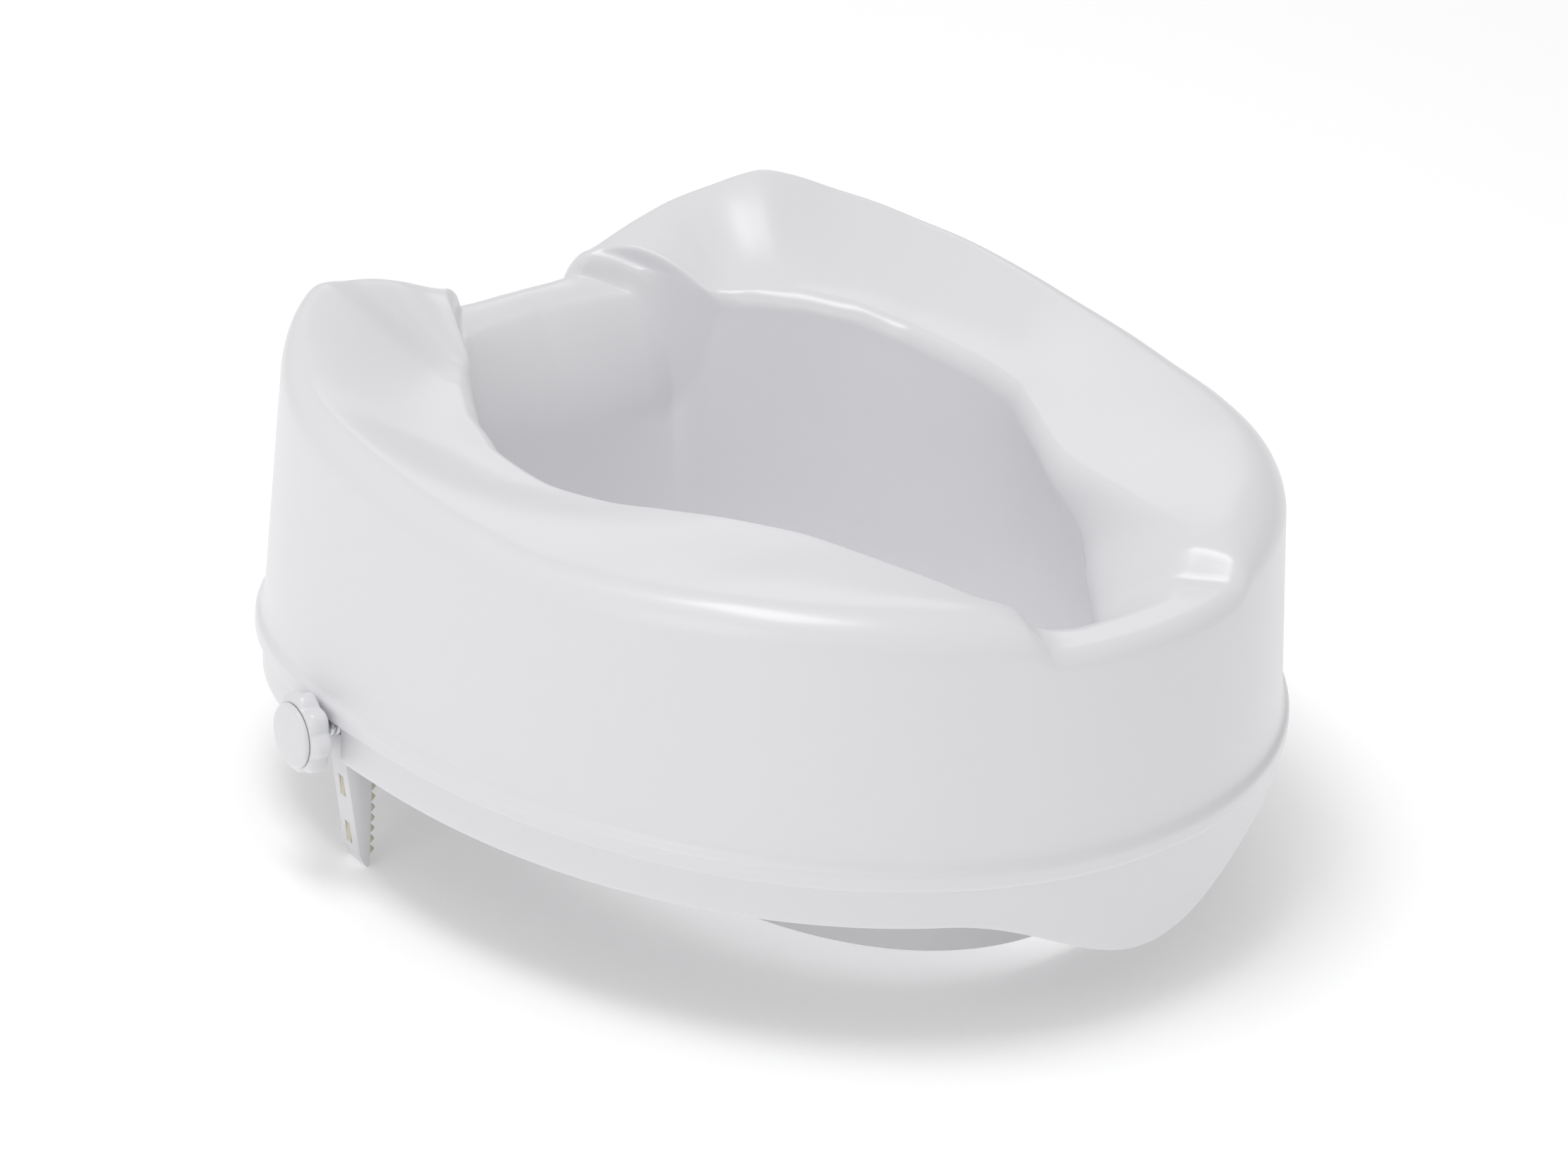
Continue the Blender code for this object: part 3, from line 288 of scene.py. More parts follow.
def shares(count):
    """Even steps from 0 to 1."""
    return [index / count for index in range(count + 1)]


def section_angles():
    """Angles of all sections round the seat, in degrees."""
    half = [0.0]
    for start, end, count in SECTION_STEPS:
        half += [start + (end - start) * (index + 1) / count for index in range(count)]
    return np.array(half + [360.0 - angle for angle in reversed(half[1:-1])])


def section_table(angles):
    """The columns of SECTIONS at the given angles, in metres, mirrored for the left half."""
    margin, half_turn = 60, round(180 / TABLE_STEP)
    fine = TABLE_STEP * np.arange(-margin, half_turn + 1 + margin)
    half = 180.0 - np.abs(180.0 - np.abs(fine))
    known = [row[0] for row in SECTIONS]
    reach = np.arange(-margin // 2, margin // 2 + 1) * TABLE_STEP
    kernel = np.exp(-0.5 * (reach / TABLE_BLUR) ** 2)
    kernel /= kernel.sum()
    wanted = (np.asarray(angles) + 180.0) % 360.0 - 180.0
    columns = []
    for column in range(1, len(SECTIONS[0])):
        sideways = column in SIDEWAYS_COLUMNS
        values = smooth_interpolate(known, [row[column] for row in SECTIONS], half) * MM
        if sideways:
            values = values * np.where((fine < 0) | (fine > 180), -1.0, 1.0)
        values = np.interp(np.abs(wanted), fine, np.convolve(values, kernel, mode="same"))
        columns.append(values * np.where(wanted < 0, -1.0, 1.0) if sideways else values)
    return columns


def offset_ring(outline, normal, inset, height):
    """The seat's outline moved inwards by inset, at a height above the bead."""
    plan = outline - normal * np.broadcast_to(inset, len(outline))[:, None]
    return np.column_stack((plan, BEAD_Z + np.broadcast_to(height, len(outline))))


def skirt_rings(outline, normal):
    """Outer face of the skirt, with its tongue at the front, and the shoulder bead above it."""
    reach = np.clip(np.abs(outline[:, 0]) / TONGUE_HALF_WIDTH, 0, 1)
    tongue = np.where(outline[:, 1] < 0, TONGUE_DROP * 0.5 * (1 + np.cos(math.pi * reach)), 0)
    foot = -SKIRT_DEPTH - tongue
    edge = foot + SKIRT_EDGE
    rings = [offset_ring(outline, normal, SKIRT_INSET + SKIRT_EDGE, foot),
             offset_ring(outline, normal, SKIRT_INSET + SKIRT_EDGE / 4, foot + SKIRT_EDGE / 4)]
    for share in shares(10):
        rings.append(offset_ring(outline, normal, SKIRT_INSET, edge + (SKIRT_TOP - edge) * share))
    return rings + [offset_ring(outline, normal, inset * MM, height * MM) for inset, height in BEAD_PROFILE]


def wall_rings(outline, normal, draft, wall_top):
    """Outer wall between the bead and the rounded rim, leaning inwards by its draft."""
    rings = []
    for share in shares(16)[1:-1]:
        rise = (wall_top - WALL_FOOT) * share
        rings.append(offset_ring(outline, normal, WALL_INSET + draft * rise, WALL_FOOT + rise))
    return rings


def opening_rings(lip_start, lip_tangent, wall_start):
    """Inner lip of the seat and the wall of the opening, down to the sleeve's foot."""
    reach = np.linalg.norm(wall_start[:, :2] - lip_start[:, :2], axis=1)[:, None]
    drop = wall_start - lip_start
    drop[:, :2] = 0
    lip_handle = lip_tangent * np.minimum(ROUND_HANDLE * reach, LIP_SOFTNESS)
    rings = [bezier(lip_start, lip_start + lip_handle, wall_start - drop * WALL_HANDLE, wall_start, share)
             for share in shares(16)[1:]]
    plan, height = wall_start[:, :2], wall_start[:, 2]
    from_centre = plan / np.linalg.norm(plan, axis=1)[:, None]
    foot = superellipse(from_centre, SLEEVE_HALF_WIDTH, SLEEVE_FRONT, SLEEVE_REAR, 0.0,
                        SLEEVE_POWER, SLEEVE_POWER)
    forward = np.clip(-foot[:, 1] / SLEEVE_FRONT, 0, 1)
    foot_height = BEAD_Z - SLEEVE_DROP - (SLEEVE_FRONT_DROP - SLEEVE_DROP) * forward
    for share in shares(20)[1:]:
        rings.append(np.column_stack((plan + (foot - plan) * share * (2 - share),
                                      height + (foot_height - height) * share)))
    return rings


def shell_stations(angles):
    """Rings of points over the outer face of the shell, from the skirt's foot to the sleeve's foot."""
    outline, normal = seat_outline(angles), outward_normals(angles)
    lip_x, lip_y, lip, wall_x, wall_y, wall_z, rim, rounding, crown, bow = section_table(angles)
    lip_start = np.column_stack((lip_x, lip_y, BEAD_Z + lip))
    wall_start = np.column_stack((wall_x, wall_y, BEAD_Z + wall_z))
    rear_share = np.clip((outline[:, 1] - outline[:, 1].min()) / SEAT_LENGTH, 0, 1)
    draft = FRONT_DRAFT + (REAR_DRAFT - FRONT_DRAFT) * rear_share
    wall_top = rim - rounding
    wall_top_inset = WALL_INSET + draft * (wall_top - WALL_FOOT)
    wall_points = offset_ring(outline, normal, wall_top_inset, wall_top)
    rim_points = offset_ring(outline, normal, wall_top_inset + rounding, rim)

    run = lip_start[:, :2] - rim_points[:, :2]
    span = np.linalg.norm(run, axis=1)
    inward = run / span[:, None]
    across = np.column_stack((-inward[:, 1], inward[:, 0])) * np.sign(lip_x)[:, None]
    slope = SEAT_SLOPE_SHARE * (lip - rim) / span
    sweep = across * (4 * bow / span)[:, None]
    rim_tangent = np.column_stack((inward + sweep, slope + 4 * crown / span))
    lip_tangent = np.column_stack((inward - sweep, slope - 4 * crown / span))
    wall_tangent = np.column_stack((-normal * draft[:, None], np.ones(len(rim))))
    handle = ROUND_HANDLE * rounding[:, None]
    rings = skirt_rings(outline, normal) + wall_rings(outline, normal, draft, wall_top)
    rings += [bezier(wall_points, wall_points + wall_tangent * handle,
                     rim_points - rim_tangent * handle, rim_points, share) for share in shares(14)]
    for share in shares(26)[1:]:
        hump = 4 * share * (1 - share)
        plan = rim_points[:, :2] + run * share + across * (bow * hump)[:, None]
        ease = SEAT_SLOPE_SHARE * share + (1 - SEAT_SLOPE_SHARE) * share ** 2 * (3 - 2 * share)
        rings.append(np.column_stack((plan, BEAD_Z + rim + (lip - rim) * ease + crown * hump)))
    return rings + opening_rings(lip_start, lip_tangent, wall_start)


# ---------------------------------------------------------------- materials

def textured(name, colour, roughness, grain_size, grain_depth, spread=0.06,
             metallic=0.0, coat=0.0, mottle=None):
    """A moulded or worked surface: fine grain in relief, and gloss that varies softly over it."""
    material = bpy.data.materials.new(name)
    material.use_nodes = True
    nodes, links = material.node_tree.nodes, material.node_tree.links
    shader = nodes["Principled BSDF"]
    shader.inputs["Base Color"].default_value = (*colour, 1.0)
    shader.inputs["Metallic"].default_value = metallic
    shader.inputs["Coat Weight"].default_value = coat
    shader.inputs["Coat Roughness"].default_value = 0.12
    place = nodes.new("ShaderNodeTexCoord")
    grain = nodes.new("ShaderNodeTexNoise")
    grain.inputs["Scale"].default_value = 1 / grain_size
    grain.inputs["Detail"].default_value = 3.0
    relief = nodes.new("ShaderNodeBump")
    relief.inputs["Strength"].default_value = 1.0
    relief.inputs["Distance"].default_value = grain_depth
    clouds = nodes.new("ShaderNodeTexNoise")
    clouds.inputs["Scale"].default_value = 22.0
    clouds.inputs["Detail"].default_value = 4.0
    gloss = nodes.new("ShaderNodeMapRange")
    gloss.inputs["To Min"].default_value = roughness - spread
    gloss.inputs["To Max"].default_value = roughness + spread
    for texture in (grain, clouds):
        links.new(place.outputs["Object"], texture.inputs["Vector"])
    links.new(grain.outputs["Fac"], relief.inputs["Height"])
    links.new(relief.outputs["Normal"], shader.inputs["Normal"])
    links.new(clouds.outputs["Fac"], gloss.inputs["Value"])
    links.new(gloss.outputs["Result"], shader.inputs["Roughness"])
    if mottle:
        tint = nodes.new("ShaderNodeMix")
        tint.data_type = "RGBA"
        tint.inputs["A"].default_value = (*colour, 1.0)
        tint.inputs["B"].default_value = (*mottle, 1.0)
        links.new(clouds.outputs["Fac"], tint.inputs["Factor"])
        links.new(tint.outputs["Result"], shader.inputs["Base Color"])
    return material


def make_materials():
    return {
        "shell": textured("moulded_white_plastic", (0.78, 0.78, 0.802), 0.30, 0.9 * MM, 0.005 * MM,
                          0.02, coat=0.12),
        "white": textured("clamp_white_plastic", (0.76, 0.76, 0.78), 0.33, 0.5 * MM, 0.008 * MM,
                          0.05, coat=0.1),
        "natural": textured("natural_plastic", (0.74, 0.74, 0.71), 0.45, 0.4 * MM, 0.01 * MM),
        "cream": textured("cream_rubber", (0.70, 0.66, 0.53), 0.65, 0.35 * MM, 0.03 * MM,
                          mottle=(0.62, 0.58, 0.46)),
        "grey": textured("grey_rubber", (0.40, 0.41, 0.42), 0.68, 0.4 * MM, 0.03 * MM,
                         mottle=(0.34, 0.35, 0.36)),
        "steel": textured("zinc_steel", (0.66, 0.67, 0.69), 0.30, 0.25 * MM, 0.004 * MM, 0.1, metallic=1.0),
    }


# ---------------------------------------------------------------- mesh helpers

def new_object(name, bm, materials=(), smooth_angle=35):
    """Object made of bm, which is used up; edges sharper than smooth_angle degrees stay sharp."""
    bmesh.ops.recalc_face_normals(bm, faces=bm.faces)
    mesh = bpy.data.meshes.new(name)
    bm.to_mesh(mesh)
    bm.free()
    mesh.shade_smooth()
    if smooth_angle:
        mesh.set_sharp_from_angle(angle=math.radians(smooth_angle))
    obj = bpy.data.objects.new(name, mesh)
    bpy.context.scene.collection.objects.link(obj)
    for material in materials:
        mesh.materials.append(material)
    return obj


def loft(bm, rings, cap=False):
    """Faces between closed rings of equal length, with flat ends if they are capped."""
    rows = [[bm.verts.new(point) for point in ring] for ring in rings]
    for row, following in zip(rows, rows[1:]):
        for index in range(len(row)):
            right = (index + 1) % len(row)
            bm.faces.new((row[index], row[right], following[right], following[index]))
    if cap:
        bm.faces.new(rows[0])
        bm.faces.new(reversed(rows[-1]))


def surface_normals(grid):
    """Unit normals of a grid of closed rings."""
    along = np.gradient(grid, axis=0)
    around = np.roll(grid, -1, axis=1) - np.roll(grid, 1, axis=1)
    normal = np.cross(around, along)
    return normal / np.maximum(np.linalg.norm(normal, axis=2)[:, :, None], 1e-12)


def add_box(bm, low, high):
    """A box between two opposite corners."""
    low, high = Vector(low), Vector(high)
    made = bmesh.ops.create_cube(bm, size=1.0)
    matrix = Matrix.Translation((low + high) / 2) @ Matrix.Diagonal((*(high - low), 1.0))
    bmesh.ops.transform(bm, matrix=matrix, verts=made["verts"])


def extrude_outline(bm, points, direction):
    """A prism: a planar outline swept along a straight direction."""
    low = [bm.verts.new(point) for point in points]
    high = [bm.verts.new(Vector(point) + Vector(direction)) for point in points]
    bm.faces.new(low)
    bm.faces.new(reversed(high))
    for index in range(len(low)):
        following = (index + 1) % len(low)
        bm.faces.new((low[index], high[index], high[following], low[following]))


def turned(bm, profile, sides=64):
    """A round body about the X axis: profile holds (distance along it, radius)."""
    turns = [2 * math.pi * (index + 0.5) / sides for index in range(sides)]
    loft(bm, [[Vector((distance, radius * math.cos(turn), radius * math.sin(turn))) for turn in turns]
              for distance, radius in profile], cap=True)


def upright(bm, profile, x, y, sides=32):
    """A round body about a vertical axis: profile holds (height, radius)."""
    turns = [2 * math.pi * index / sides for index in range(sides)]
    loft(bm, [[Vector((x + radius * math.cos(turn), y + radius * math.sin(turn), height)) for turn in turns]
              for height, radius in profile], cap=True)


def fillet(x, radius, reach_x, reach_radius, steps):
    """A quarter-round of a turned profile that starts at (x, radius) going along x."""
    turns = [math.pi / 2 * share for share in shares(steps)]
    return [(x + reach_x * math.sin(turn), radius - reach_radius * (1 - math.cos(turn))) for turn in turns]


def add_part(bm, part):
    """Add a closed part to the mesh; the part is used up."""
    bmesh.ops.recalc_face_normals(part, faces=part.faces)
    mesh = bpy.data.meshes.new("part")
    part.to_mesh(mesh)
    part.free()
    bm.from_mesh(mesh)
    bpy.data.meshes.remove(mesh)


def clamp_frame(side):
    """From the clamp's own layout to the seat; the left clamp mirrors the right one."""
    place = Matrix.Translation((CLAMP_X, CLAMP_Y, CLAMP_Z)) @ Matrix.Rotation(CLAMP_TURN, 4, "Z")
    return Matrix.Diagonal((side, 1, 1, 1)) @ place


def place_in_clamp(bm, side):
    """Move a mesh from the clamp's layout onto the seat."""
    bmesh.ops.transform(bm, matrix=clamp_frame(side), verts=bm.verts)


def solid(bm, side):
    """A cutter or block in the clamp's layout, placed on the seat, for finished() to use up."""
    place_in_clamp(bm, side)
    return new_object("tool", bm)


def box_tool(side, low, high):
    """A box in the clamp's layout, to cut or join with."""
    bm = bmesh.new()
    add_box(bm, low, high)
    return solid(bm, side)


def round_tool(side, start, end, radius, sides=48):
    """A round or many-sided bar along the screw, to cut with."""
    bm = bmesh.new()
    turned(bm, [(start, radius), (end, radius)], sides)
    return solid(bm, side)


def cut_away(tools):
    """The tools as cuts for finished()."""
    return [("DIFFERENCE", tool) for tool in tools]


def finished(name, bm, material, operations=(), edge=0.0, steps=3, smooth_angle=40, solver="EXACT"):
    """Object made of bm after its cuts and joins, with its sharp edges rounded; the tools are deleted."""
    raw = new_object(name + "_raw", bm)
    for operation, tool in operations:
        modifier = raw.modifiers.new(operation, "BOOLEAN")
        modifier.operation = operation
        modifier.solver = solver
        modifier.object = tool
    if edge:
        bevel = raw.modifiers.new("edges", "BEVEL")
        bevel.width = edge
        bevel.segments = steps
        bevel.limit_method = "ANGLE"
        bevel.angle_limit = math.radians(40)
    graph = bpy.context.evaluated_depsgraph_get()
    shaped = bmesh.new()
    shaped.from_object(raw, graph)
    for used in [raw] + [tool for operation, tool in operations]:
        bpy.data.objects.remove(used)
    return new_object(name, shaped, (material,), smooth_angle)


def stand_in(piece, node):
    """Show the piece in place of the CAD node, on that node's body."""
    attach(piece, frame["nodes"][node]["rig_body"])
    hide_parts(node)


# ---------------------------------------------------------------- the shell

def smoothed(grid, along, around):
    """Moving average of a closed grid of rings, to take small relief off the inner face."""
    reach = np.arange(-around, around + 1)
    result = sum(np.roll(grid, shift, axis=1) for shift in reach) / len(reach)
    padded = np.concatenate([result[:1]] * along + [result] + [result[-1:]] * along)
    return sum(padded[i:i + len(result)] for i in range(2 * along + 1)) / (2 * along + 1)


def rib_outline(grid, point, direction, foot_z):
    """Where a vertical plane meets the middle of the shell's wall, closed at foot_z."""
    across = np.array((-direction[1], direction[0]))
    outline = []
    for ring in grid:
        distance = (ring[:, :2] - point) @ across
        ahead = (ring[:, :2] - point) @ direction
        following = np.roll(distance, -1)
        index = np.nonzero((distance * following <= 0) & (ahead > 0))[0][0]
        share = distance[index] / (distance[index] - following[index])
        outline.append(ring[index] + (np.roll(ring, -1, axis=0)[index] - ring[index]) * share)
    kept = []
    for start, end in zip(outline, outline[1:]):
        if (start[2] - foot_z) * (end[2] - foot_z) < 0:
            kept.append(start + (end - start) * (foot_z - start[2]) / (end[2] - start[2]))
        if end[2] > foot_z:
            kept.append(end)
    return kept


def add_rib(bm, grid, point, direction):
    """A flat rib whose edges lie inside the shell's wall, with a rounded lower edge."""
    point, direction = np.array(point), np.array(direction)
    outline = [Vector(corner) for corner in rib_outline(grid, point, direction, RIB_FOOT_Z)]
    across = Vector((-direction[1], direction[0], 0.0)) * RIB_THICKNESS
    rib = bmesh.new()
    extrude_outline(rib, [corner - across / 2 for corner in outline], across)
    lower = [edge for edge in rib.edges if all(abs(vert.co.z - RIB_FOOT_Z) < 1e-6 for vert in edge.verts)
             and edge.calc_length() > 2 * RIB_THICKNESS]
    bmesh.ops.bevel(rib, geom=lower, offset=0.6 * MM, segments=3, affect="EDGES", profile=0.5)
    add_part(bm, rib)


def rib_line(side, place):
    """Start and direction of the plan line that a rib stands on."""
    inner_x, inner_y, heading = RIB_LINES[place]
    direction = np.array((side * math.cos(heading), math.sin(heading)))
    return np.array((side * inner_x, inner_y)) - direction * RIB_START, direction


def guide_lines(side):
    """The plan lines of the two ribs that run beside each clamp bracket."""
    place = clamp_frame(side)
    outwards = (place.to_3x3() @ Vector((1, 0, 0))).xy
    for end in (-1, 1):
        point = place @ Vector((GUIDE_START_X, end * (GUIDE_GAP + RIB_THICKNESS) / 2, 0))
        yield point.xy, outwards


def thrust_wall(bm, side):
    """The wall between the guide ribs with the slot that the screw turns in."""
    half, thick = THRUST_WALL_HALF_LENGTH, THRUST_WALL_THICKNESS
    slot = SCREW_RADIUS + FIT_GAP
    foot, top = THRUST_WALL_FOOT_Z, THRUST_WALL_TOP_Z
    arc = [(slot * math.cos(math.pi * share), slot * math.sin(math.pi * share)) for share in shares(24)]
    corners = [(slot, foot), *arc, (-slot, foot), (-half, foot), (-half, top), (half, top), (half, foot)]
    wall = bmesh.new()
    extrude_outline(wall, [Vector((THRUST_WALL_X - thick / 2, y, z)) for y, z in corners], (thick, 0, 0))
    place_in_clamp(wall, side)
    add_part(bm, wall)


def skirt_cutout(side):
    """The opening in the skirt that the screw passes through, with rounded upper corners."""
    half, corner = CUTOUT_WIDTH / 2, CUTOUT_CORNER
    turns = [math.pi / 2 * share for share in shares(8)]
    points = [(-half, -SKIRT_DEPTH), (half, -SKIRT_DEPTH)]
    for end, order in ((1, turns), (-1, turns[::-1])):
        points += [(end * (half - corner + corner * math.cos(turn)),
                    CUTOUT_TOP_Z - corner + corner * math.sin(turn)) for turn in order]
    bm = bmesh.new()
    extrude_outline(bm, [Vector((CUTOUT_INNER_X, y, z)) for y, z in points], (CUTOUT_REACH, 0, 0))
    return solid(bm, side)


def build_shell(material):
    """The hollow moulding: its outer and inner faces, then the ribs, guides and thrust walls in it."""
    grid = np.array(shell_stations(section_angles()))
    soft = smoothed(grid, 2, 3)
    normal = surface_normals(soft)
    inner = smoothed(soft - normal * WALL, 3, 4)
    inner[0], inner[-1] = (grid - normal * WALL)[[0, -1]]
    inner[:3, :, 2] = grid[:3, :, 2]
    middle = grid - normal * WALL / 2
    bm = bmesh.new()
    loft(bm, [[Vector(point) for point in ring] for ring in [*grid, *inner[::-1], grid[0]]])
    bmesh.ops.remove_doubles(bm, verts=bm.verts, dist=1e-7)
    cutouts = cut_away([skirt_cutout(side) for side in (1, -1)])
    shell = finished("shell", bm, material, cutouts, solver="MANIFOLD", smooth_angle=None)
    joined = bmesh.new()
    joined.from_mesh(shell.data)
    for side in (1, -1):
        for place in RIB_LINES:
            add_rib(joined, middle, *rib_line(side, place))
        for point, direction in guide_lines(side):
            add_rib(joined, middle, point, direction)
        thrust_wall(joined, side)
    joined.to_mesh(shell.data)
    joined.free()
    shell.data.shade_smooth()
    shell.data.set_sharp_from_angle(angle=math.radians(50))
    stand_in(shell, "seat_shell")


def build_buffers(material):
    """Rubber shoes pushed onto the lower edges of the front and rear ribs."""
    for side, name in ((1, "right"), (-1, "left")):
        for place in ("front", "rear"):
            point, direction = rib_line(side, place)
            centre = point + direction * (RIB_START + BUFFER_REACH[place])
            across = np.array((-direction[1], direction[0]))
            foot = RIB_FOOT_Z - FIT_GAP
            half, slot = BUFFER_WIDTH / 2, RIB_THICKNESS / 2 + FIT_GAP
            profile = [(-half, foot - BUFFER_BASE), (half, foot - BUFFER_BASE), (half, foot + BUFFER_GRIP),
                       (slot, foot + BUFFER_GRIP), (slot, foot), (-slot, foot), (-slot, foot + BUFFER_GRIP),
                       (-half, foot + BUFFER_GRIP)]
            start = centre - direction * BUFFER_LENGTH / 2
            bm = bmesh.new()
            extrude_outline(bm, [Vector((*(start + across * offset), z)) for offset, z in profile],
                            (*(direction * BUFFER_LENGTH), 0))
            piece = finished(f"buffer_{place}_{name}", bm, material, edge=0.9 * MM, steps=4)
            stand_in(piece, f"rim_buffer_{place}_{name}")


# ---------------------------------------------------------------- the side clamps

def hexagon_radius(across_flats):
    """Distance from the middle of a hexagon to its corners."""
    return across_flats / 2 / math.cos(math.pi / 6)


def leg_face_x(height):
    """Outer face of the leg at a height, below the knee where it begins to lean inwards."""
    share = (LEG_KNEE_Z - height) / (LEG_KNEE_Z - LEG_HEEL_Z)
    return LEG_OUTER_X + (LEG_OUTER_FOOT_X - LEG_OUTER_X) * min(max(share, 0), 1)


def bracket_profile():
    """Side view of the leg, from its top round to its rounded toe at the inner face."""
    return [(LEG_INNER_X, LEG_TOP_Z), (LEG_OUTER_X - LEG_CHAMFER, LEG_TOP_Z),
            (LEG_OUTER_X, LEG_TOP_Z - LEG_CHAMFER), (LEG_OUTER_X, LEG_KNEE_Z),
            (LEG_OUTER_FOOT_X, LEG_HEEL_Z), (LEG_OUTER_FOOT_X - 1.2 * MM, LEG_HEEL_Z - 2.5 * MM),
            (LEG_INNER_X + 2.2 * MM, LEG_FOOT_Z + 1.2 * MM), (LEG_INNER_X + 1.3 * MM, LEG_FOOT_Z),
            (LEG_INNER_X + 0.4 * MM, LEG_FOOT_Z + 0.5 * MM), (LEG_INNER_X, LEG_FOOT_Z + 1.8 * MM)]


def build_bracket(side, name, material):
    """Leg of the clamp: channel for the pad, slots for its tabs, pocket for the nut and screw hole."""
    half = LEG_WIDTH / 2
    bm = bmesh.new()
    extrude_outline(bm, [Vector((x, -half, z)) for x, z in bracket_profile()], (0, LEG_WIDTH, 0))
    corners = [edge for edge in bm.edges
               if abs(edge.verts[0].co.y - edge.verts[1].co.y) < 1e-6
               and min(vert.co.x - leg_face_x(vert.co.z) for vert in edge.verts) > -0.1 * MM]
    bmesh.ops.bevel(bm, geom=corners, offset=1.2 * MM, segments=5, affect="EDGES", profile=0.5)
    place_in_clamp(bm, side)
    inside, outside = LEG_INNER_X - CUT_PAST, LEG_OUTER_X + CUT_PAST
    channel = half - LEG_SIDE
    cuts = [box_tool(side, (inside, -channel, PAD_FOOT_Z - FIT_GAP),
                     (LEG_OUTER_FOOT_X - LEG_FLOOR, channel, PAD_TOP_Z + FIT_GAP))]
    wide, high = TAB_WIDTH / 2 + FIT_GAP, TAB_HEIGHT / 2 + FIT_GAP
    for centre in TAB_CENTRES_Z:
        cuts.append(box_tool(side, (LEG_INNER_X + 1 * MM, -wide, centre - high),
                             (outside, wide, centre + high)))
    cuts.append(round_tool(side, inside, outside, SCREW_RADIUS + 0.5 * MM))
    cuts.append(round_tool(side, inside, LEG_INNER_X + NUT_HEIGHT + 0.5 * MM,
                           hexagon_radius(NUT_ACROSS_FLATS + 2 * FIT_GAP), 6))
    piece = finished(f"bracket_{name}", bm, material, cut_away(cuts), edge=0.25 * MM)
    stand_in(piece, f"clamp_bracket_{name}")


def build_pad(side, name, material):
    """Rubber pad with rounded teeth towards the bowl and two tabs through the leg."""
    half = LEG_WIDTH / 2 - LEG_SIDE - FIT_GAP
    back = LEG_OUTER_FOOT_X - LEG_FLOOR - FIT_GAP
    pitch, fine = (PAD_TOP_Z - PAD_FOOT_Z) / PAD_TEETH, 12
    points = [(back, PAD_FOOT_Z), (back, PAD_TOP_Z)]
    for index in range(fine * PAD_TEETH + 1):
        wave = (0.5 - 0.5 * math.cos(2 * math.pi * index / fine)) ** 0.7
        points.append((LEG_INNER_X - PAD_PROUD - PAD_TOOTH_DEPTH * wave, PAD_TOP_Z - pitch * index / fine))
    bm = bmesh.new()
    extrude_outline(bm, [Vector((x, -half, z)) for x, z in points], (0, 2 * half, 0))
    place_in_clamp(bm, side)
    tabs = []
    for centre in TAB_CENTRES_Z:
        face = leg_face_x(centre + TAB_HEIGHT / 2) - TAB_RECESS
        tabs.append(box_tool(side, (LEG_INNER_X + TAB_RECESS, -TAB_WIDTH / 2, centre - TAB_HEIGHT / 2),
                             (face, TAB_WIDTH / 2, centre + TAB_HEIGHT / 2)))
    piece = finished(f"pad_{name}", bm, material, [("UNION", tab) for tab in tabs], edge=0.2 * MM, steps=2)
    stand_in(piece, f"clamp_pad_{name}")


def build_nut(side, name, material):
    """Hexagonal nut with chamfered corners."""
    start, end = LEG_INNER_X + 0.2 * MM, LEG_INNER_X + NUT_HEIGHT
    flat, corner = NUT_ACROSS_FLATS / 2, hexagon_radius(NUT_ACROSS_FLATS)
    past, chamfer = 0.01 * MM, 0.6 * MM
    bm = bmesh.new()
    turned(bm, [(start, corner), (end, corner)], 6)
    place_in_clamp(bm, side)
    cone = bmesh.new()
    turned(cone, [(start - past, flat - 0.2 * MM), (start + chamfer, corner + 0.1 * MM),
                  (end - chamfer, corner + 0.1 * MM), (end + past, flat - 0.2 * MM)])
    bore = round_tool(side, start - 1 * MM, end + 1 * MM, SCREW_RADIUS + FIT_GAP)
    piece = finished(f"nut_{name}", bm, material, [("INTERSECT", solid(cone, side)), ("DIFFERENCE", bore)])
    stand_in(piece, f"clamp_nut_{name}")


def clip_positions():
    """The two clip grooves along the screw, one each side of the thrust wall."""
    half = THRUST_WALL_THICKNESS / 2 + 0.4 * MM
    return THRUST_WALL_X - half - CLIP_THICKNESS, THRUST_WALL_X + half


def screw_radius(x, turn, side):
    """Radius of the screw: two clip grooves near its tip, then a left-handed thread up to the knob."""
    for groove in clip_positions():
        if groove - GROOVE_GAP < x < groove + CLIP_THICKNESS + GROOVE_GAP:
            return GROOVE_RADIUS
    if x < SCREW_INNER_X + TIP_CHAMFER:
        return SCREW_RADIUS - (SCREW_INNER_X + TIP_CHAMFER - x)
    phase = ((x - THREAD_START_X) / THREAD_PITCH + side * turn / (2 * math.pi)) % 1.0
    flank = min(abs(phase - 0.5) * 2 / THREAD_FLANKS, 1.0)
    into, left = (x - THREAD_START_X) / THREAD_RUN_IN, (THREAD_END_X - x) / THREAD_RUN_IN
    depth = THREAD_DEPTH * min(max(into, 0), max(left, 0), 1)
    return SCREW_RADIUS - depth * (1 - flank)


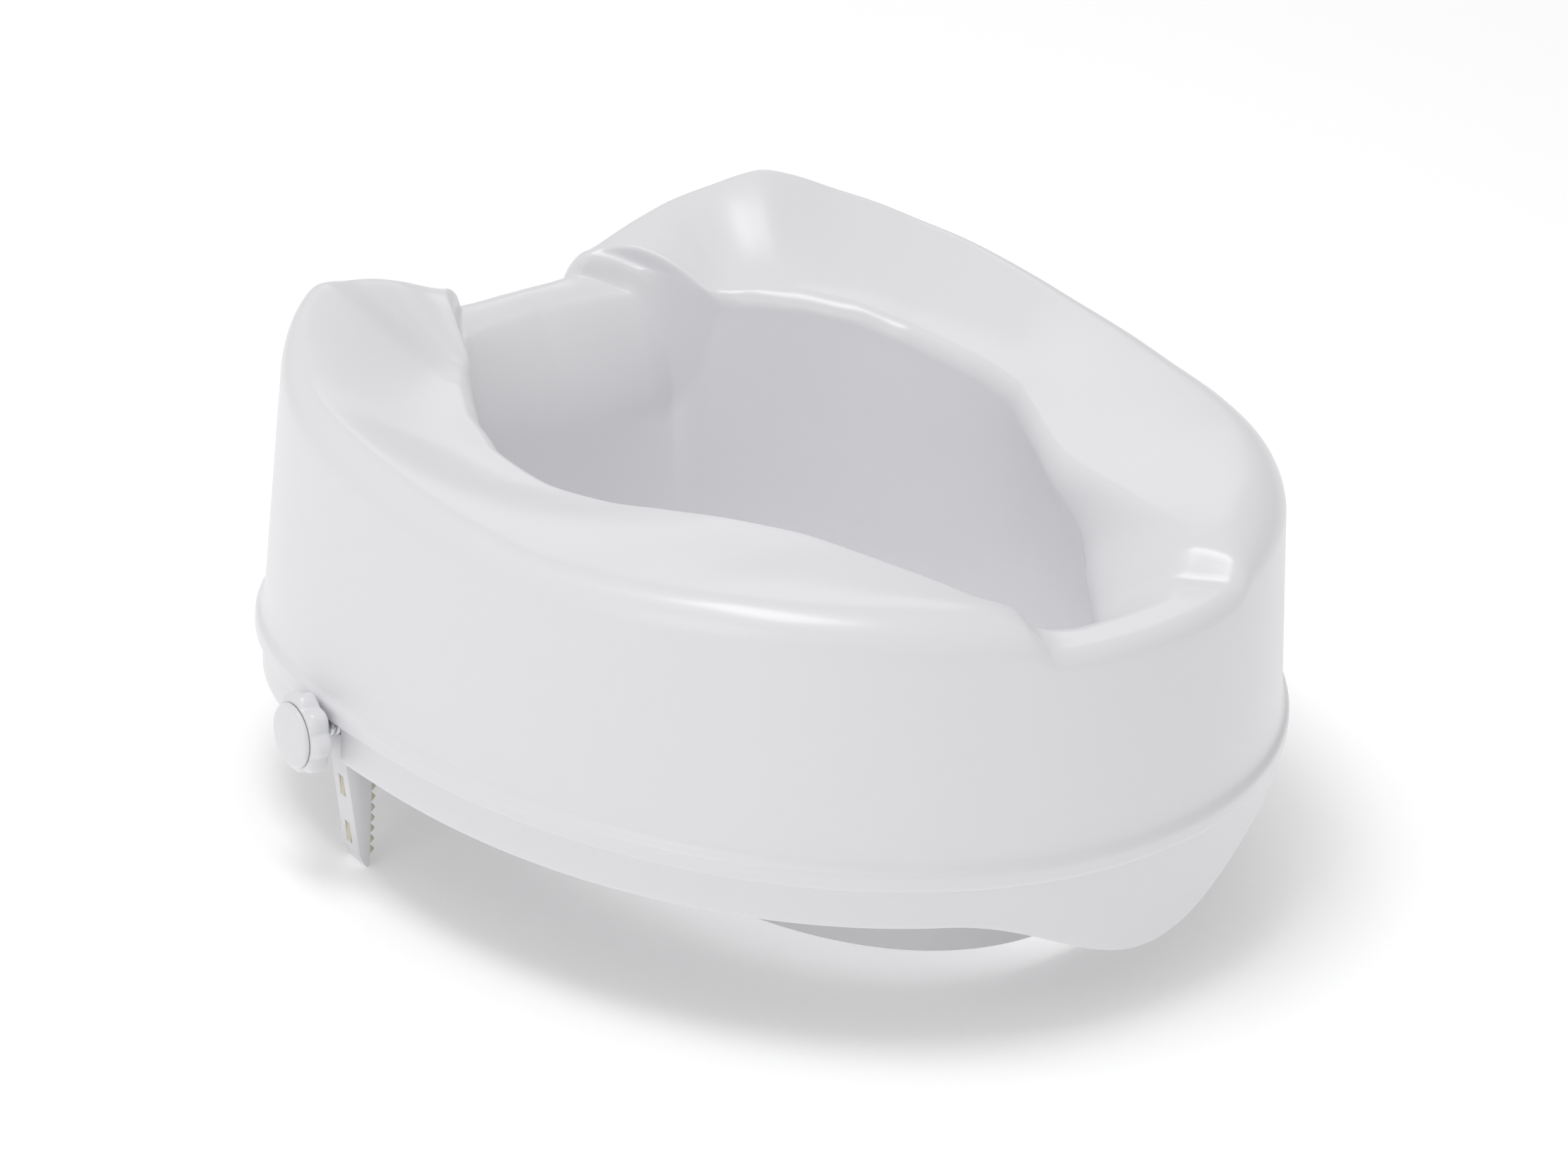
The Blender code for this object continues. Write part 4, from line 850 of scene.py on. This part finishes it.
def build_screw(side, name, material):
    """Clamp screw: thread, two clip grooves and the hexagonal head that sits in the knob."""
    sides, head, corner = 40, HEAD_RECESS + 0.4 * MM, hexagon_radius(NUT_ACROSS_FLATS)
    turns = [2 * math.pi * index / sides for index in range(sides)]
    rings = []
    for x in np.arange(SCREW_INNER_X, head + 1 * MM, 0.2 * MM):
        radii = [screw_radius(x, turn, side) for turn in turns]
        rings.append([Vector((x, radius * math.cos(turn), radius * math.sin(turn)))
                      for radius, turn in zip(radii, turns)])
    bm = bmesh.new()
    loft(bm, rings, cap=True)
    place_in_clamp(bm, side)
    hexagon = bmesh.new()
    turned(hexagon, [(head, corner), (head + HEAD_HEIGHT, corner)], 6)
    piece = finished(f"screw_{name}", bm, material, [("UNION", solid(hexagon, side))], smooth_angle=50)
    stand_in(piece, f"clamp_screw_{name}")


def clip_bore(turn):
    """Inner radius of a retaining clip: three prongs in the groove, with relief between them."""
    grip, relief = GROOVE_RADIUS + 0.1 * MM, 3.9 * MM
    from_back = turn - math.pi
    prong = max(0.0, math.cos(2 * from_back)) ** 0.5 if abs(from_back) < 2.2 else 1.0
    return relief + (grip - relief) * max(prong, abs(math.cos(turn)) ** 4)


def build_clips(side, name, material):
    """Retaining clips: open rings with prongs that grip the screw's grooves."""
    turns = [CLIP_OPENING / 2 + (2 * math.pi - CLIP_OPENING) * share for share in shares(72)]
    outline = [(CLIP_RADIUS, turn) for turn in turns] + [(clip_bore(turn), turn) for turn in reversed(turns)]
    for label, place in zip(("inner", "outer"), clip_positions()):
        bm = bmesh.new()
        extrude_outline(bm, [Vector((place, radius * math.sin(turn), -radius * math.cos(turn)))
                             for radius, turn in outline], (CLIP_THICKNESS, 0, 0))
        place_in_clamp(bm, side)
        piece = finished(f"clip_{label}_{name}", bm, material, edge=0.12 * MM, steps=2)
        stand_in(piece, f"retaining_clip_{label}_{name}")


def build_knob(side, name, material):
    """Hand knob with eight rounded lobes, a recess for its cap and a pocket for the screw's head."""
    bore, recess = SCREW_RADIUS + FIT_GAP, CAP_RADIUS - CAP_LEDGE + FIT_GAP
    face, floor, chamfer = KNOB_THICKNESS, KNOB_THICKNESS - 0.8 * MM, 0.2 * MM
    profile = [(0.0, bore, 0.0)]
    profile += [(x * MM, KNOB_RADIUS - shrink * MM, lobes) for x, shrink, lobes in KNOB_PROFILE]
    profile += [(face, recess + chamfer, 0.0), (face - chamfer, recess, 0.0), (floor, recess, 0.0),
                (floor, bore, 0.0), (0.0, bore, 0.0)]
    turns = [2 * math.pi * share for share in shares(20 * KNOB_LOBES)[:-1]]
    valleys = [KNOB_LOBE_DEPTH * (1 - (0.5 + 0.5 * math.cos(KNOB_LOBES * turn)) ** 0.7) for turn in turns]
    rings = []
    for distance, radius, lobes in profile:
        radii = [radius - lobes * valley for valley in valleys]
        rings.append([Vector((distance, reach * math.cos(turn), reach * math.sin(turn)))
                      for reach, turn in zip(radii, turns)])
    bm = bmesh.new()
    loft(bm, rings)
    bmesh.ops.remove_doubles(bm, verts=bm.verts, dist=1e-7)
    place_in_clamp(bm, side)
    pocket = round_tool(side, HEAD_RECESS, face + CUT_PAST, hexagon_radius(NUT_ACROSS_FLATS + 2 * FIT_GAP), 6)
    piece = finished(f"knob_{name}", bm, material, cut_away([pocket]))
    stand_in(piece, f"clamp_knob_{name}")


def build_cap(side, name, material):
    """Domed cap that snaps into the knob over the screw's head."""
    face, plug = KNOB_THICKNESS, CAP_RADIUS - CAP_LEDGE
    top, dome = face + CAP_HEIGHT, 0.7 * MM
    corner_x, corner_radius = 1.2 * MM, 1.5 * MM
    profile = [(face - 0.5 * MM, plug - 0.4 * MM), (face - 0.2 * MM, plug), (face + 0.2 * MM, plug),
               (face + 0.25 * MM, CAP_RADIUS - 0.15 * MM), (face + 0.4 * MM, CAP_RADIUS)]
    profile += fillet(top - dome - corner_x, CAP_RADIUS, corner_x, corner_radius, 8)
    for rest in (0.8, 0.6, 0.4, 0.2, 0.05):
        profile.append((top - dome * rest ** 2, (CAP_RADIUS - corner_radius) * rest))
    bm = bmesh.new()
    turned(bm, profile, 96)
    place_in_clamp(bm, side)
    stand_in(finished(f"cap_{name}", bm, material), f"knob_cap_{name}")


def build_keeper(side, name, material):
    """Keeper that closes the thrust wall's slot from below, with holes for its two screws."""
    half = THRUST_WALL_THICKNESS / 2
    bm = bmesh.new()
    add_box(bm, (THRUST_WALL_X - half, -THRUST_WALL_HALF_LENGTH, KEEPER_FOOT_Z),
            (THRUST_WALL_X + half, THRUST_WALL_HALF_LENGTH, KEEPER_TOP_Z))
    place_in_clamp(bm, side)
    reach, bore = half + CUT_PAST, KEEPER_SCREW_RADIUS + FIT_GAP
    cuts = [round_tool(side, THRUST_WALL_X - reach, THRUST_WALL_X + reach, SCREW_RADIUS + FIT_GAP)]
    for end in (-1, 1):
        hole = bmesh.new()
        upright(hole, [(KEEPER_FOOT_Z - CUT_PAST, bore), (KEEPER_TOP_Z + CUT_PAST, bore)],
                THRUST_WALL_X, end * KEEPER_SCREW_OFFSET)
        cuts.append(solid(hole, side))
    piece = finished(f"keeper_{name}", bm, material, cut_away(cuts), edge=0.3 * MM)
    stand_in(piece, f"screw_keeper_{name}")


def keeper_screw_profile():
    """Pan head, threaded shank and blunt tip, from below upwards."""
    foot, thin, wide = KEEPER_FOOT_Z, KEEPER_SCREW_RADIUS, 2 * KEEPER_SCREW_RADIUS
    tip = THRUST_WALL_FOOT_Z + KEEPER_SCREW_LENGTH - 1 * MM
    threads, thread_start, thread_length = 9, foot + 1 * MM, tip - foot - 3 * MM
    profile = [(foot - 1.9 * MM, wide - 1.4 * MM), (foot - 1.85 * MM, wide - 0.9 * MM),
               (foot - 1.7 * MM, wide - 0.5 * MM), (foot - 1.45 * MM, wide - 0.2 * MM),
               (foot - 1.1 * MM, wide), (foot - 0.2 * MM, wide), (foot - 0.2 * MM, thin)]
    for share in shares(threads)[:-1]:
        height = thread_start + thread_length * share
        profile += [(height, thin), (height + 0.35 * MM, thin - 0.25 * MM), (height + 0.7 * MM, thin)]
    return profile + [(tip - 1 * MM, thin - 0.1 * MM), (tip, thin - 1.0 * MM)]


def build_keeper_screws(side, name, material):
    """The keeper's two fixing screws, with crossed slots in their heads."""
    for end, label in ((-1, "front"), (1, "rear")):
        x, y = THRUST_WALL_X, end * KEEPER_SCREW_OFFSET
        screw = bmesh.new()
        upright(screw, keeper_screw_profile(), x, y)
        place_in_clamp(screw, side)
        slots = []
        for width, length in ((0.35 * MM, 1.4 * MM), (1.4 * MM, 0.35 * MM)):
            slots.append(box_tool(side, (x - width, y - length, KEEPER_FOOT_Z - 2.5 * MM),
                                  (x + width, y + length, KEEPER_FOOT_Z - 1.2 * MM)))
        piece = finished(f"screw_{label}_{name}", screw, material, cut_away(slots))
        stand_in(piece, f"keeper_screw_{label}_{name}")


def build_object():
    materials = make_materials()
    build_shell(materials["shell"])
    build_buffers(materials["grey"])
    for side, name in ((1, "right"), (-1, "left")):
        build_bracket(side, name, materials["white"])
        build_pad(side, name, materials["cream"])
        build_nut(side, name, materials["steel"])
        build_screw(side, name, materials["steel"])
        build_clips(side, name, materials["steel"])
        build_knob(side, name, materials["white"])
        build_cap(side, name, materials["white"])
        build_keeper(side, name, materials["natural"])
        build_keeper_screws(side, name, materials["steel"])


# ---------------------------------------------------------------- stage, light and camera

TARGET = Vector((8.3, 20.0, 84.7)) * MM
AZIMUTH, ELEVATION, ROLL = math.radians(-43.153), math.radians(25.337), math.radians(3.719)
DISTANCE = 1.9489
LENS = 118.0
LIGHT_TARGET = Vector((0, 0, 0.1))


def build_camera():
    """The photograph's view."""
    back = Vector((math.sin(AZIMUTH) * math.cos(ELEVATION), -math.cos(AZIMUTH) * math.cos(ELEVATION),
                   math.sin(ELEVATION)))
    right = Vector((math.cos(AZIMUTH), math.sin(AZIMUTH), 0))
    up = back.cross(right)
    rolled_right = right * math.cos(ROLL) + up * math.sin(ROLL)
    rolled_up = up * math.cos(ROLL) - right * math.sin(ROLL)
    data = bpy.data.cameras.new("camera")
    data.lens = LENS
    data.sensor_width = 36
    data.clip_end = 20
    camera = bpy.data.objects.new("camera", data)
    rotation = Matrix((rolled_right, rolled_up, back)).transposed().to_4x4()
    camera.matrix_world = Matrix.Translation(TARGET + back * DISTANCE) @ rotation
    bpy.context.scene.collection.objects.link(camera)
    bpy.context.scene.camera = camera


def area_light(name, place, size, power):
    """A white panel that faces the seat."""
    data = bpy.data.lights.new(name, "AREA")
    data.shape = "RECTANGLE"
    data.size, data.size_y = size
    data.energy = power
    light = bpy.data.objects.new(name, data)
    light.location = place
    light.rotation_euler = (LIGHT_TARGET - Vector(place)).to_track_quat("-Z", "Y").to_euler()
    bpy.context.scene.collection.objects.link(light)


def build_stage():
    """A pale, softly glowing floor, a white surround and three panels of light."""
    white = (1, 1, 1, 1)
    bm = bmesh.new()
    bmesh.ops.create_grid(bm, x_segments=2, y_segments=2, size=6)
    floor_material = textured("pale_floor", (0.98, 0.98, 0.98), 0.85, 2 * MM, 0.02 * MM)
    shader = floor_material.node_tree.nodes["Principled BSDF"]
    shader.inputs["Emission Color"].default_value = white
    shader.inputs["Emission Strength"].default_value = 0.2
    floor = new_object("floor", bm, (floor_material,))
    floor.location.z = -0.2 * MM
    world = bpy.data.worlds.new("studio")
    bpy.context.scene.world = world
    world.use_nodes = True
    background = world.node_tree.nodes["Background"]
    background.inputs["Color"].default_value = white
    background.inputs["Strength"].default_value = 0.6
    area_light("top", (-0.5, 0.1, 2.1), (1.0, 0.6), 13)
    area_light("left", (-1.9, -0.4, 1.2), (1.0, 1.0), 3.5)
    area_light("back_right", (1.5, 1.5, 1.3), (0.7, 1.0), 1.5)
    bpy.context.scene.view_settings.view_transform = "Standard"


build_object()
build_stage()
build_camera()
